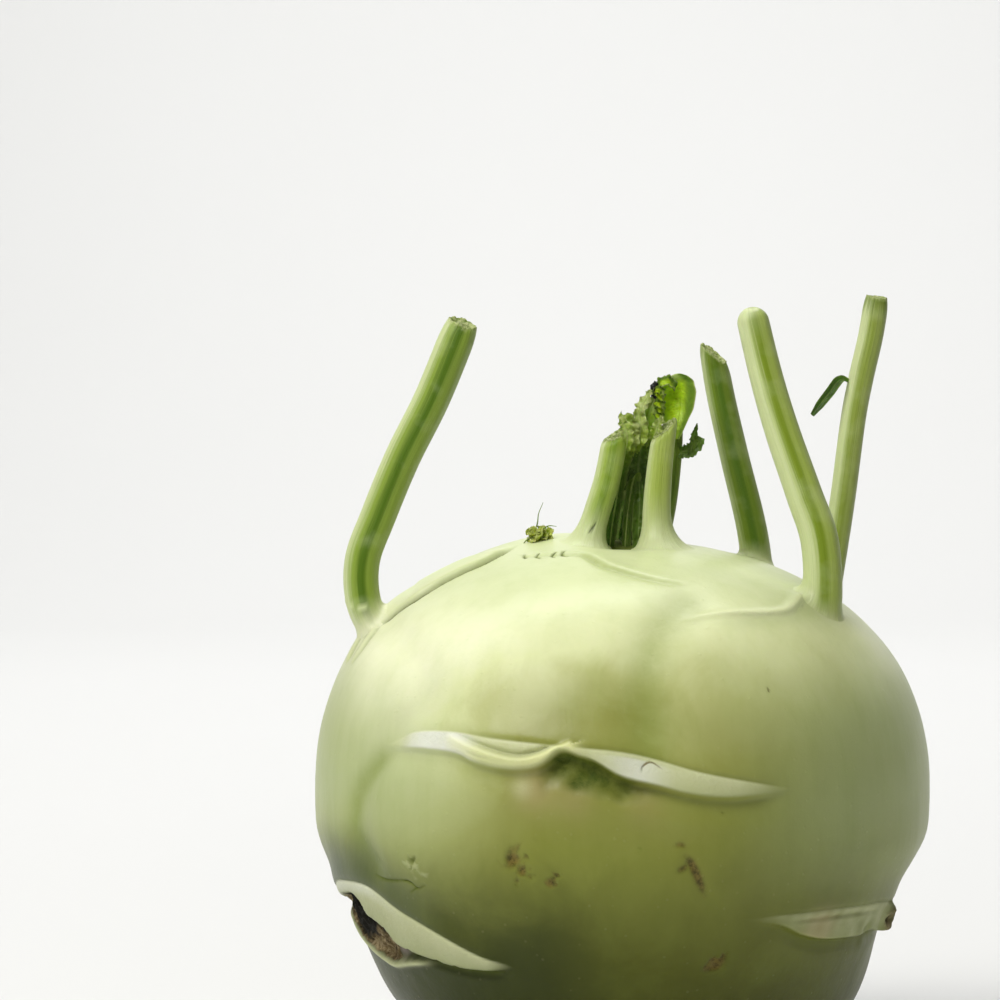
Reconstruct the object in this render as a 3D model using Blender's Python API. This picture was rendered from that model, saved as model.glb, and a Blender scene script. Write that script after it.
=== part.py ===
"""A kohlrabi as picked: one swollen stem, its cut leaf stalks and the young leaves of its crown.

The model is in metres, +Z up, with its origin on the surface that the kohlrabi rests on,
below the middle of the bulb, and its front faces -Y. The tables below are in millimetres
from the middle of the bulb's widest line. Marks on the bulb are placed as on a globe: a
bearing that starts at the front and turns towards +X, and an elevation above that line.
"""
import math

import bmesh
import bpy
import numpy as np
from mathutils import Matrix, Vector

MM = 0.001

# ---- driving dimensions, in millimetres and degrees ----------------------------------
BULB_RADIUS = 55.0        # at the widest line
BULB_RISE = 47.0          # from the widest line up to the crown
BULB_DROP = 55.0          # from the widest line down to the end of the full curve
BULB_CENTRE = 53.6        # widest line above the surface it rests on
MIDDLE_X = -0.09          # the bulb's middle from the middle of the whole outline
MIDDLE_Y = -0.25
UPPER_POWER = 2.35        # 2 is an ellipse; more is squarer in the shoulders
LOWER_POWER = 2.0
BULB_CELLS = 25           # faces along each edge of the cube that the bulb is blown up from
WAIST_SIDE = 3.2          # how far the left and right sides step in under the widest line
WAIST_FRONT = 0.9         # and the front and the back
WAIST_TOP = (-3.0, -19.0)
WAIST_FOOT = (-26.0, -46.0)
FIT_GAP = 0.35            # between the bulb and what grows on it
STALK_SIDES = 12
LEAF_SIDES = 8
SECTION_STEP = 4.5        # between two sections of a stalk
ROOT_DEPTH = 4.0          # how far a stalk is built down into the bulb before it is trimmed

# Soft swellings and hollows of the bulb: bearing, elevation, reach in degrees, height in mm.
SWELLINGS = (
    (-24, 30, 22, 1.0),
    (34, 24, 26, 0.7),
    (-72, 24, 18, 0.6),
    (100, 20, 30, 0.4),
    (165, 28, 28, 0.8),
    (-140, 22, 28, 0.6),
    (-95, 58, 24, 0.5),
    (90, 56, 24, -0.8),
    (0, 82, 7, -2.2),
)

# Folds between the lobes: depth, half-width and the line that each one follows.
FOLDS = (
    (0.9, 5.0, ((18, 45), (8, 37), (5, 26), (5, 14))),
    (0.8, 3.5, ((-73, 37), (-47, 30), (-41, 23), (-43, 16))),
    (0.7, 4.0, ((-46, 15), (-52, 8), (-54, 0), (-53, -7))),
    (0.5, 2.4, ((-45, 61), (-28, 63), (-8, 59), (6, 53), (20, 50))),
    (0.8, 5.0, ((112, 44), (106, 26), (108, 8))),
    (0.8, 5.0, ((-168, 52), (-176, 30), (-172, 10))),
)

# Leaf scars and ridges: height, half-width above, half-width below and the line of the crest.
RIDGES = (
    (1.5, 4.2, 2.6, ((-45, 16), (-32, 16), (-22, 14.5), (-11, 15), (0, 13.5), (10, 11), (21, 9), (29, 7.5))),
    (1.5, 3.8, 2.6, ((-63, -12), (-52, -12.5), (-44, -15.5), (-37, -19), (-31, -21), (-23, -23))),
    (1.2, 3.0, 2.4, ((30, -15.5), (40, -15.5), (50, -15.5), (62, -16.5), (76, -19), (92, -21))),
    (0.6, 2.4, 2.4, ((-84, 37), (-86, 45), (-90, 52), (-94, 60), (-101, 69))),
    (0.7, 2.4, 2.2, ((62, 43), (50, 42.5), (38, 42), (24, 42), (12, 41.5))),
    (1.3, 3.8, 2.6, ((128, 10), (142, 13), (158, 12), (172, 9), (184, 6))),
    (1.3, 3.8, 2.6, ((-168, -14), (-150, -11), (-134, -12), (-120, -16), (-108, -20))),
)

# Where a stalk or the root stands the bulb rises a little: bearing, elevation, reach in degrees, height.
COLLARS = (
    (-82, 37, 7, 1.2),
    (62, 42, 7, 1.2),
    (114, 41, 6, 1.0),
    (121, 56, 6, 0.8),
    (86, -22, 2.5, 1.0),
    (0, -90, 11, 1.6),
)

# Long stalks: radius, foot (extra radius where it meets the bulb) and route from root to tip.
STALKS = {
    "left_stalk": (3.15, 1.3, (
        (-42.6, -7.4, 29.6), (-45.8, -8, 36), (-46.3, -7.8, 43.5), (-44, -7.2, 51.4),
        (-39.6, -6.6, 61.8), (-34.1, -6, 72.7), (-28.6, -5.4, 86), (-27.2, -5.2, 89))),
    "right_front_stalk": (3.05, 2.0, (
        (32.6, -18, 30), (34.2, -19, 37.5), (33.9, -18.6, 47.6), (31.4, -17.2, 55.4),
        (27.9, -15.2, 66.8), (25.5, -13.8, 76.6), (23.1, -12.4, 88.3))),
    "right_rear_stalk": (2.35, 1.5, (
        (36.8, 17, 29), (39.1, 19, 42.5), (40.9, 20, 54.1), (42.8, 21, 68.4),
        (44.3, 22, 76.1), (46.2, 23, 84.3), (47.6, 24, 93))),
    "rear_stalk": (2.5, 1.3, (
        (25.2, 15.6, 36), (24.7, 15, 43.4), (23.7, 14, 50.4), (20.9, 12.5, 62.4),
        (18.4, 11, 74.3), (17.2, 10.2, 84))),
    "crown_left_stalk": (2.2, 2.2, (
        (-6.3, -6.6, 42), (-5.3, -6.2, 46.5), (-3.6, -5.4, 52.8), (-2.3, -4.8, 58.5), (-1.2, -4.3, 65.6))),
    "crown_right_stalk": (2.1, 2.4, (
        (6.6, -6.8, 42), (6.2, -6.4, 46.5), (6.3, -6, 53), (6.9, -5.4, 60), (7.6, -4.9, 67))),
    "crown_rear_stalk": (1.15, 0.8, (
        (7.2, 3.4, 42), (7.6, 3.4, 47), (8.9, 3.4, 54), (9.7, 3.2, 62), (9.9, 3, 68))),
}

# Where a stalk was cut: a point of the cut and the way that the cut faces.
CUTS = {
    "left_stalk": ((-28.4, -5.4, 86.2), (0.60, -0.15, 0.78)),
    "right_rear_stalk": ((47.4, 24, 91.4), (0.16, -0.12, 0.98)),
    "rear_stalk": ((17.6, 10.4, 80.4), (0.60, -0.22, 0.76)),
    "crown_left_stalk": ((-1.5, -4.3, 64), (-0.30, -0.25, 0.92)),
    "crown_right_stalk": ((6.9, -4.9, 65.2), (-0.50, -0.25, 0.83)),
}

# Leaves: the way the flat side faces, then half-width, half-thickness and point in turn.
LEAVES = {
    "young_leaf_left": ((0, -1, 0), (
        (0.9, 0.7, (-2.0, 0.2, 42)), (0.9, 0.7, (-1.5, 0.1, 48)), (1.2, 0.7, (-0.3, 0, 55)),
        (1.1, 0.6, (0.9, -0.4, 61)), (2.2, 0.6, (1.5, -0.9, 65)), (2.4, 0.6, (1.6, -1.1, 67.5)),
        (1.0, 0.4, (1.3, -1.1, 70)))),
    "young_leaf_mid": ((0, -1, 0), (
        (0.9, 0.7, (0.8, 2.8, 42)), (0.9, 0.7, (1.0, 2.8, 48)), (1.3, 0.7, (1.9, 2.7, 55)),
        (1.3, 0.7, (3.0, 2.3, 61.5)), (1.0, 0.6, (4.2, 1.3, 66)), (2.0, 0.6, (4.3, 0.9, 69.2)),
        (2.2, 0.6, (3.7, 0.8, 72)), (0.9, 0.4, (3.8, 0.9, 74.5)))),
    "young_leaf_right": ((0, -1, 0), (
        (0.9, 0.7, (3.2, 0.4, 42)), (0.9, 0.7, (3.2, 0.3, 48)), (1.1, 0.7, (3.8, 0.2, 55)),
        (1.0, 0.6, (4.6, 0, 60.5)), (0.6, 0.5, (5.0, -0.2, 64.4)))),
    "stalk_leaflet": ((0, -1, 0.3), (
        (0.35, 0.35, (41.6, 20.9, 75.6)), (0.65, 0.5, (39.6, 19.6, 75.3)), (0.75, 0.5, (37.4, 18.4, 73.6)),
        (0.6, 0.45, (35.8, 17.8, 71.4)), (0.4, 0.35, (34.8, 17.4, 69.4)))),
}

# The antler-shaped leaf as seen from the front: outline in (x, z), drawn anticlockwise.
LOBED_OUTLINE = (
    (11.3, 62.0), (12.7, 62.6), (13.9, 64.4), (14.7, 65.8), (14.5, 67.2), (13.9, 67.0),
    (13.8, 69.6), (13.0, 68.4), (12.7, 66.4), (11.3, 65.6),
)
LOBED_FRONT = 2.6
LOBED_THICKNESS = 0.9

CUP_CENTRE = (10.1, 3.1, 72.4)
CUP_RADII = (3.6, 1.9, 4.0)
CUP_WALL = 0.7
CUP_FACING = (-0.25, -1.0, 0.25)

TUFT_CENTRE = (-15.2, 3.2, 48.4)
TUFT_RADII = (2.5, 1.9, 2.6)

# colour, roughness
FINISHES = {
    "pale_skin": ((0.60, 0.65, 0.34), 0.38),
    "stalk_green": ((0.28, 0.38, 0.09), 0.45),
    "young_leaf_green": ((0.07, 0.13, 0.02), 0.55),
    "bright_leaf_green": ((0.20, 0.33, 0.03), 0.50),
}


# ---- small helpers -----------------------------------------------------------------
def smooth_step(value, start, end):
    """0 at start, 1 at end, with soft ends; start may be the larger of the two."""
    share = np.clip((value - start) / (end - start), 0.0, 1.0)
    return share * share * (3.0 - 2.0 * share)


def globe_direction(bearing, elevation):
    """Unit vector of a place on the bulb."""
    turn = math.radians(bearing)
    lift = math.radians(elevation)
    return np.array((math.sin(turn) * math.cos(lift), -math.cos(turn) * math.cos(lift), math.sin(lift)))


def smooth_route(points, steps):
    """Catmull-Rom curve through the points, with some steps in each span."""
    knots = np.array(points, dtype=float)
    ends = (2.0 * knots[0] - knots[1], 2.0 * knots[-1] - knots[-2])
    padded = np.vstack((ends[0], knots, ends[1]))
    route = []
    for index in range(len(knots) - 1):
        before, start, end, after = padded[index:index + 4]
        for t in np.linspace(0.0, 1.0, steps, endpoint=False):
            route.append(0.5 * (2.0 * start + (end - before) * t
                                + (2.0 * before - 5.0 * start + 4.0 * end - after) * t ** 2
                                + (3.0 * start - before - 3.0 * end + after) * t ** 3))
    route.append(knots[-1])
    return np.array(route)


def link(name, mesh, finish):
    """An object with its own material, shaded smooth except at real edges."""
    mesh.shade_smooth()
    mesh.set_sharp_from_angle(angle=math.radians(40.0))
    mesh.materials.append(finish)
    piece = bpy.data.objects.new(name, mesh)
    bpy.context.scene.collection.objects.link(piece)
    return piece


def mesh_of(bm, name):
    """Turn a bmesh in millimetres from the bulb's middle into a mesh in metres from the rest."""
    bmesh.ops.recalc_face_normals(bm, faces=bm.faces)
    bmesh.ops.translate(bm, vec=(MIDDLE_X, MIDDLE_Y, BULB_CENTRE), verts=bm.verts)
    bmesh.ops.scale(bm, vec=(MM, MM, MM), verts=bm.verts)
    mesh = bpy.data.meshes.new(name)
    bm.to_mesh(mesh)
    bm.free()
    return mesh


def make_finish(name, slot):
    """A material of its own for each piece."""
    colour, roughness = FINISHES[slot]
    finish = bpy.data.materials.new(name + "_" + slot)
    finish.use_nodes = True
    shader = finish.node_tree.nodes["Principled BSDF"]
    shader.inputs["Base Color"].default_value = (*colour, 1.0)
    shader.inputs["Roughness"].default_value = roughness
    shader.inputs["Metallic"].default_value = 0.0
    return finish


# ---- the bulb ----------------------------------------------------------------------
def distance_to_line(directions, line):
    """Millimetres over the skin to a line, how far along it, and which side: above is +."""
    marks = np.array([globe_direction(*place) for place in line])
    route = smooth_route(marks, 8)
    route /= np.linalg.norm(route, axis=1)[:, None]
    nearest = np.full(len(directions), 1e9)
    along = np.zeros(len(directions))
    side = np.zeros(len(directions))
    for index in range(len(route) - 1):
        start = route[index]
        run = route[index + 1] - start
        share = np.clip((directions - start) @ run / (run @ run), 0.0, 1.0)
        offset = directions - (start + share[:, None] * run)
        gap = np.linalg.norm(offset, axis=1) * BULB_RADIUS
        closer = gap < nearest
        nearest[closer] = gap[closer]
        along[closer] = ((index + share) / (len(route) - 1))[closer]
        side[closer] = np.sign(offset[:, 2])[closer]
    return nearest, along, side


def near(directions, bearing, elevation, reach):
    """1 at a place on the bulb, falling off softly with the angle from it."""
    centre = globe_direction(bearing, elevation)
    angle = np.degrees(np.arccos(np.clip(directions @ centre, -1.0, 1.0)))
    return np.exp(-(angle / reach) ** 2)


def bulb_reach(directions):
    """Distance from the bulb's centre to its skin along each unit direction."""
    level = np.hypot(directions[:, 0], directions[:, 1]) / BULB_RADIUS
    height = np.where(directions[:, 2] > 0.0, BULB_RISE, BULB_DROP)
    upright = np.abs(directions[:, 2]) / height
    power = np.where(directions[:, 2] > 0.0, UPPER_POWER, LOWER_POWER)
    reach = (level ** power + upright ** power) ** (-1.0 / power)
    elevation = np.degrees(np.arcsin(np.clip(directions[:, 2], -1.0, 1.0)))
    waist = smooth_step(elevation, *WAIST_TOP) * (1.0 - smooth_step(elevation, *WAIST_FOOT))
    reach -= waist * (WAIST_FRONT + (WAIST_SIDE - WAIST_FRONT) * directions[:, 0] ** 2)
    for bearing, lift, width, rise in SWELLINGS + COLLARS:
        reach += rise * near(directions, bearing, lift, width)
    for depth, width, line in FOLDS:
        gap, _, _ = distance_to_line(directions, line)
        reach -= depth * np.exp(-(gap / width) ** 2)
    for rise, width_above, width_below, line in RIDGES:
        gap, along, side = distance_to_line(directions, line)
        width = np.where(side > 0.0, width_above, width_below)
        fade = np.sin(np.pi * (0.06 + 0.88 * along)) ** 0.5
        reach += rise * fade * np.exp(-(gap / width) ** 2)
    return reach


def bulb_bmesh(extra):
    """The bulb blown up from a cube's faces, grown outwards by an extra thickness."""
    bm = bmesh.new()
    bmesh.ops.create_cube(bm, size=2.0)
    bmesh.ops.subdivide_edges(bm, edges=bm.edges, cuts=BULB_CELLS - 1, use_grid_fill=True)
    corners = np.tan(np.array([vert.co for vert in bm.verts]) * math.pi / 4.0)
    directions = corners / np.linalg.norm(corners, axis=1)[:, None]
    skin = directions * (bulb_reach(directions) + extra)[:, None]
    for vert, place in zip(bm.verts, skin):
        vert.co = place
    return bm


def build_bulb():
    """The bulb stands on the small flat spot where its root was cut off."""
    bm = bulb_bmesh(0.0)
    everything = bm.verts[:] + bm.edges[:] + bm.faces[:]
    bmesh.ops.bisect_plane(bm, geom=everything, dist=0.02, plane_co=(0, 0, -BULB_CENTRE),
                           plane_no=(0, 0, 1), clear_inner=True)
    rim = [edge for edge in bm.edges if edge.is_boundary]
    bmesh.ops.contextual_create(bm, geom=rim)
    return link("bulb", mesh_of(bm, "bulb"), make_finish("bulb", "pale_skin"))


def build_bulb_cutter():
    """The same bulb, a fitting gap larger, which trims the feet of what grows on it."""
    cutter = link("bulb_cutter", mesh_of(bulb_bmesh(FIT_GAP), "bulb_cutter"), make_finish("cutter", "pale_skin"))
    cutter.hide_render = True
    cutter.display_type = "WIRE"
    return cutter


def trim_foot(piece, cutter):
    """Cut away what would lie inside the bulb."""
    trim = piece.modifiers.new("trim_foot", "BOOLEAN")
    trim.operation = "DIFFERENCE"
    trim.object = cutter
    trim.solver = "EXACT"


# ---- stalks and leaves ----------------------------------------------------------------
def section_frame(place, along, facing, half_width, half_thickness):
    """Matrix of one cross-section: width across, thickness towards where it faces."""
    along = along.normalized()
    across = along.cross(facing).normalized()
    through = across.cross(along)
    frame = Matrix((across * half_width, through * half_thickness, along)).transposed().to_4x4()
    frame.translation = place
    return frame


def loft(frames, sides):
    """A closed skin over the cross-sections, capped at both ends."""
    bm = bmesh.new()
    rings = []
    for frame in frames:
        circle = bmesh.ops.create_circle(bm, segments=sides, radius=1.0, matrix=frame)
        rings.append(list({edge for vert in circle["verts"] for edge in vert.link_edges}))
    for low, high in zip(rings, rings[1:]):
        bmesh.ops.bridge_loops(bm, edges=low + high)
    for end in (rings[0], rings[-1]):
        bmesh.ops.contextual_create(bm, geom=end)
    return bm


def stalk_frames(radius, foot, points):
    """Sections of a round stalk with a flared foot."""
    route = smooth_route(points, 4)
    lengths = np.concatenate(((0.0,), np.cumsum(np.linalg.norm(np.diff(route, axis=0), axis=1))))
    count = max(4, round(lengths[-1] / SECTION_STEP))
    frames = []
    for distance in np.linspace(0.0, lengths[-1], count + 1):
        place = Vector([np.interp(distance, lengths, route[:, axis]) for axis in range(3)])
        ahead = Vector([np.interp(distance + 0.5, lengths, route[:, axis]) for axis in range(3)])
        behind = Vector([np.interp(distance - 0.5, lengths, route[:, axis]) for axis in range(3)])
        flare = foot * math.exp(-max(distance - ROOT_DEPTH, -1.0) / 3.0)
        frames.append(section_frame(place, ahead - behind, Vector((0, -1, 0)), radius + flare, radius + flare))
    return frames


def round_off(frames, radius):
    """Close a stalk with a blunt dome instead of a flat cut."""
    last = frames.pop()
    along = last.col[2].to_3d().normalized()
    for turn in (30.0, 55.0, 78.0):
        angle = math.radians(turn)
        dome = last.copy()
        dome.translation = last.translation + along * radius * (math.sin(angle) - 1.0)
        frames.append(dome @ Matrix.Diagonal((math.cos(angle), math.cos(angle), 1.0, 1.0)))
    return frames


def cut_end(bm, point, facing):
    """Slice the end off with a flat cut."""
    everything = bm.verts[:] + bm.edges[:] + bm.faces[:]
    bmesh.ops.bisect_plane(bm, geom=everything, dist=0.02, plane_co=point,
                           plane_no=facing, clear_outer=True)
    rim = [edge for edge in bm.edges if edge.is_boundary]
    bmesh.ops.contextual_create(bm, geom=rim)


def build_stalk(name, cutter):
    radius, foot, points = STALKS[name]
    frames = stalk_frames(radius, foot, points)
    if name not in CUTS:
        frames = round_off(frames, radius)
    bm = loft(frames, STALK_SIDES)
    if name in CUTS:
        cut_end(bm, *CUTS[name])
    piece = link(name, mesh_of(bm, name), make_finish(name, "stalk_green"))
    trim_foot(piece, cutter)


def build_leaf(name, cutter):
    facing, stations = LEAVES[name]
    places = smooth_route([station[2] for station in stations], 3)
    halves = smooth_route([(*station[:2], 0.0) for station in stations], 3)
    frames = []
    for index, place in enumerate(places):
        ahead = places[min(index + 1, len(places) - 1)]
        behind = places[max(index - 1, 0)]
        frames.append(section_frame(Vector(place), Vector(ahead - behind), Vector(facing),
                                    halves[index][0], halves[index][1]))
    piece = link(name, mesh_of(loft(frames, LEAF_SIDES), name), make_finish(name, "young_leaf_green"))
    if places[0][2] < BULB_RISE:
        trim_foot(piece, cutter)


def build_lobed_leaf():
    """The antler-shaped leaf, a plate cut to its outline."""
    bm = bmesh.new()
    front = [bm.verts.new((x, LOBED_FRONT, z)) for x, z in LOBED_OUTLINE]
    plate = bm.faces.new(front)
    grown = bmesh.ops.extrude_face_region(bm, geom=[plate])
    rear = [item for item in grown["geom"] if isinstance(item, bmesh.types.BMVert)]
    bmesh.ops.translate(bm, vec=(0.0, LOBED_THICKNESS, 0.0), verts=rear)
    link("lobed_leaf", mesh_of(bm, "lobed_leaf"), make_finish("lobed_leaf", "young_leaf_green"))


def build_cupped_leaf():
    """The cupped leaf: half of a hollow egg, open towards the front left."""
    bm = bmesh.new()
    bmesh.ops.create_uvsphere(bm, u_segments=16, v_segments=8, radius=1.0)
    everything = bm.verts[:] + bm.edges[:] + bm.faces[:]
    facing = Vector(CUP_FACING).normalized()
    bmesh.ops.bisect_plane(bm, geom=everything, plane_co=(0, 0, 0), plane_no=facing, clear_outer=True)
    bmesh.ops.scale(bm, vec=CUP_RADII, verts=bm.verts)
    bmesh.ops.recalc_face_normals(bm, faces=bm.faces)
    bmesh.ops.solidify(bm, geom=bm.faces[:], thickness=CUP_WALL)
    bmesh.ops.translate(bm, vec=CUP_CENTRE, verts=bm.verts)
    link("cupped_leaf", mesh_of(bm, "cupped_leaf"), make_finish("cupped_leaf", "bright_leaf_green"))


def build_bud_tuft(cutter):
    """The crumpled bud beside the crown, as one small lump."""
    bm = bmesh.new()
    bmesh.ops.create_icosphere(bm, subdivisions=2, radius=1.0)
    bmesh.ops.scale(bm, vec=TUFT_RADII, verts=bm.verts)
    bmesh.ops.translate(bm, vec=TUFT_CENTRE, verts=bm.verts)
    piece = link("bud_tuft", mesh_of(bm, "bud_tuft"), make_finish("bud_tuft", "bright_leaf_green"))
    trim_foot(piece, cutter)


def main():
    for old in list(bpy.data.objects):
        bpy.data.objects.remove(old)
    build_bulb()
    cutter = build_bulb_cutter()
    for name in STALKS:
        build_stalk(name, cutter)
    for name in LEAVES:
        build_leaf(name, cutter)
    build_lobed_leaf()
    build_cupped_leaf()
    build_bud_tuft(cutter)


main()
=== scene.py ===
# %% [markdown]
# # A kohlrabi
# A kohlrabi is a stem that has swollen into a ball. Leaf stalks grow out of its shoulders, leaf
# scars run round it like crescents, and its youngest leaves stand curled at the crown. The packed
# model fixes where everything is. This file gives each piece its real surface and colour.

# %% Load the frame
import math

import bmesh
import bpy
import numpy as np
from mathutils import Matrix, Vector, noise


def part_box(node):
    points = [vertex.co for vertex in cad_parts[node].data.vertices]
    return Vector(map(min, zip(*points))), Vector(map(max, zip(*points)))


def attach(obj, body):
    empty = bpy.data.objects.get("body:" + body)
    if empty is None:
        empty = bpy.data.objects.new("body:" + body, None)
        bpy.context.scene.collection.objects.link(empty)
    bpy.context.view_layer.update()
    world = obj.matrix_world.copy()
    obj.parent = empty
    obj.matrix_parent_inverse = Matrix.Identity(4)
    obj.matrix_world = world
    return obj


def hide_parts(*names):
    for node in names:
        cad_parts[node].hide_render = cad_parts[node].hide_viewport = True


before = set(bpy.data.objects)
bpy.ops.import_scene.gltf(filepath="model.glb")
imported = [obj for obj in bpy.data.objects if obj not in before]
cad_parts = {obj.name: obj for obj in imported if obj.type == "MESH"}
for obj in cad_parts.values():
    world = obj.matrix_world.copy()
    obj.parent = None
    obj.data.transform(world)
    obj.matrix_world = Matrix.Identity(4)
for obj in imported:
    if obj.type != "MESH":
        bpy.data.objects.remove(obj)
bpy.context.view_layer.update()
MM = 0.001
print("nodes", sorted(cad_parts))

# %% [markdown]
# ## Sizes
# All places below are in millimetres from the middle of the bulb's widest line, because the bulb
# is drawn from there. The frame says where that middle is: the flat spot that the kohlrabi rests
# on is the bulb's lowest point, and the crown is its highest.

# %% Driving sizes
BULB_RADIUS = 55.0
MM_PER_DEGREE = BULB_RADIUS * math.pi / 180.0
BULB_RISE = 47.0
BULB_DROP = 55.0
UPPER_POWER = 2.35
LOWER_POWER = 2.0
REST_DEPTH = 53.6
WAIST_SIDE = 3.2
WAIST_FRONT = 0.9
WAIST_TOP = (-3.0, -19.0)
WAIST_FOOT = (-26.0, -46.0)
MIDDLE = Vector((-0.09, -0.25, REST_DEPTH))
bulb_low, bulb_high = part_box("bulb")
print("bulb", [round(v / MM, 1) for v in bulb_low], [round(v / MM, 1) for v in bulb_high])


# %% [markdown]
# ## Three small tools for drawing on a ball
# Marks on the bulb are placed as on a globe. A bearing starts at the front and turns to the
# right, and an elevation is the height above the widest line, both in degrees. A soft step and a
# smooth route through a few points do the rest.

# %% Soft steps and smooth routes
def soft_step(value, start, end):
    """0 at start, 1 at end, with soft ends; start may be the larger of the two."""
    share = np.clip((value - start) / (end - start), 0.0, 1.0)
    return share * share * (3.0 - 2.0 * share)


def hill(value, width):
    """A smooth bell: 1 at 0, about 0.37 one width away."""
    return np.exp(-(value / width) ** 2)


def tapered(along, power, tip=0.0):
    """0 at both ends of a line and 1 in its middle; a small power makes the ends blunt."""
    return np.sin(np.pi * np.clip(along, tip, 1.0 - tip)) ** power


def smooth_route(points, steps):
    """Catmull-Rom curve through the points, with some steps in each span."""
    knots = np.array(points, dtype=float)
    padded = np.vstack((2.0 * knots[0] - knots[1], knots, 2.0 * knots[-1] - knots[-2]))
    route = []
    for index in range(len(knots) - 1):
        before, start, end, after = padded[index:index + 4]
        for t in np.linspace(0.0, 1.0, steps, endpoint=False):
            route.append(0.5 * (2.0 * start + (end - before) * t
                                + (2.0 * before - 5.0 * start + 4.0 * end - after) * t ** 2
                                + (3.0 * start - before - 3.0 * end + after) * t ** 3))
    route.append(knots[-1])
    return np.array(route)


def unit(rows):
    """The same directions, each of length 1."""
    return rows / np.linalg.norm(rows, axis=1)[:, None]


def square_to(ahead, direction):
    """The part of a direction that is square to each row of ahead, of length 1."""
    direction = np.array(direction, dtype=float)
    return unit(direction - (ahead @ direction)[:, None] * ahead)


def globe(bearing, elevation):
    """Unit vector of a place on the bulb."""
    turn = math.radians(bearing)
    lift = math.radians(elevation)
    return np.array((math.sin(turn) * math.cos(lift), -math.cos(turn) * math.cos(lift), math.sin(lift)))


def lumps(points, size, seed=0.0):
    """Smooth random bumps, about -1 to 1, that are some millimetres across."""
    shift = Vector((seed, 2.0 * seed, 3.0 * seed))
    return np.array([noise.noise(Vector(point) / size + shift) for point in points])


# %% [markdown]
# ## Where a mark lies
# Every mark has a bearing and an elevation, like a place on a globe. This class says how far each
# point of the skin is from such a place, or from a line of them.

# %% Distances over the skin
class Skin:
    """Unit directions from the bulb's middle, with their bearings and elevations."""

    def __init__(self, directions):
        self.directions = directions
        self.bearing = np.degrees(np.arctan2(directions[:, 0], -directions[:, 1]))
        self.elevation = np.degrees(np.arcsin(np.clip(directions[:, 2], -1.0, 1.0)))

    def angle_to(self, bearing, elevation):
        """Degrees from one place to every point."""
        return np.degrees(np.arccos(np.clip(self.directions @ globe(bearing, elevation), -1.0, 1.0)))

    def near(self, bearing, elevation, reach):
        """1 at a place on the bulb, falling off softly with the angle from it."""
        angle = self.angle_to(bearing, elevation)
        return hill(angle, reach)

    def line(self, places):
        """Millimetres to a line, the share of its length there, and the side: left of its run is +."""
        marks = unit(smooth_route([globe(*place) for place in places], 6))
        nearest = np.full(len(self.directions), np.inf)
        along = np.zeros(len(self.directions))
        side = np.zeros(len(self.directions))
        for index in range(len(marks) - 1):
            start = marks[index]
            run = marks[index + 1] - start
            share = np.clip((self.directions - start) @ run / (run @ run), 0.0, 1.0)
            offset = self.directions - start - share[:, None] * run
            gap = np.linalg.norm(offset, axis=1) * BULB_RADIUS
            closer = gap < nearest
            nearest[closer] = gap[closer]
            along[closer] = ((index + share) / (len(marks) - 1))[closer]
            side[closer] = np.sign(self.directions @ np.cross(start, run))[closer]
        return nearest, along, side

    def edge(self, places):
        """Elevation of an edge that runs round the bulb, read at each bearing."""
        knots = smooth_route(places, 6)
        return np.interp(self.bearing, knots[:, 0], knots[:, 1])


# %% [markdown]
# ## The shape of the bulb
# The body is a squarish ball: a superellipse turned round the upright axis. Soft swellings and
# folds make its lobes. It steps in under the widest line on its left and right sides. The packed
# bulb has the same swellings and folds, so the two agree.

# %% Swellings and folds
# Bearing and elevation, width in degrees, and rise in millimetres.
SWELLINGS = (
    (-24, 30, 22, 1.0), (34, 24, 26, 0.7), (-72, 24, 18, 0.6), (100, 20, 30, 0.4),
    (165, 28, 28, 0.8), (-140, 22, 28, 0.6), (-95, 58, 24, 0.5), (90, 56, 24, -0.8),
    (0, 82, 7, -2.2), (82, -19.5, 11, -1.7), (-118, 73, 15, 1.3), (-97, 40, 7, -1.5), (-70, -52, 16, -1.6),
    (-82, 37, 7, 1.2), (62, 42, 7, 1.2), (114, 41, 6, 1.0), (121, 56, 6, 0.8), (0, -90, 11, 1.6),
)
# Depth and width in millimetres, and the line that the fold follows.
FOLDS = (
    (0.9, 5.0, ((18, 45), (8, 37), (5, 26), (5, 14))),
    (0.8, 3.5, ((-73, 37), (-47, 30), (-41, 23), (-43, 16))),
    (0.7, 4.0, ((-46, 15), (-52, 8), (-54, 0), (-53, -7))),
    (0.8, 5.0, ((112, 44), (106, 26), (108, 8))),
    (0.8, 5.0, ((-168, 52), (-176, 30), (-172, 10))),
)


def body_reach(skin):
    """Distance from the bulb's middle to its skin, without the scars."""
    directions = skin.directions
    level = np.hypot(directions[:, 0], directions[:, 1]) / BULB_RADIUS
    upper = directions[:, 2] > 0.0
    upright = np.abs(directions[:, 2]) / np.where(upper, BULB_RISE, BULB_DROP)
    power = np.where(upper, UPPER_POWER, LOWER_POWER)
    reach = (level ** power + upright ** power) ** (-1.0 / power)
    waist = soft_step(skin.elevation, *WAIST_TOP) * (1.0 - soft_step(skin.elevation, *WAIST_FOOT))
    reach -= waist * (WAIST_FRONT + (WAIST_SIDE - WAIST_FRONT) * directions[:, 0] ** 2)
    for bearing, elevation, width, rise in SWELLINGS:
        reach += rise * skin.near(bearing, elevation, width)
    for depth, width, places in FOLDS:
        reach -= depth * hill(skin.line(places)[0], width)
    return reach
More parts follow.
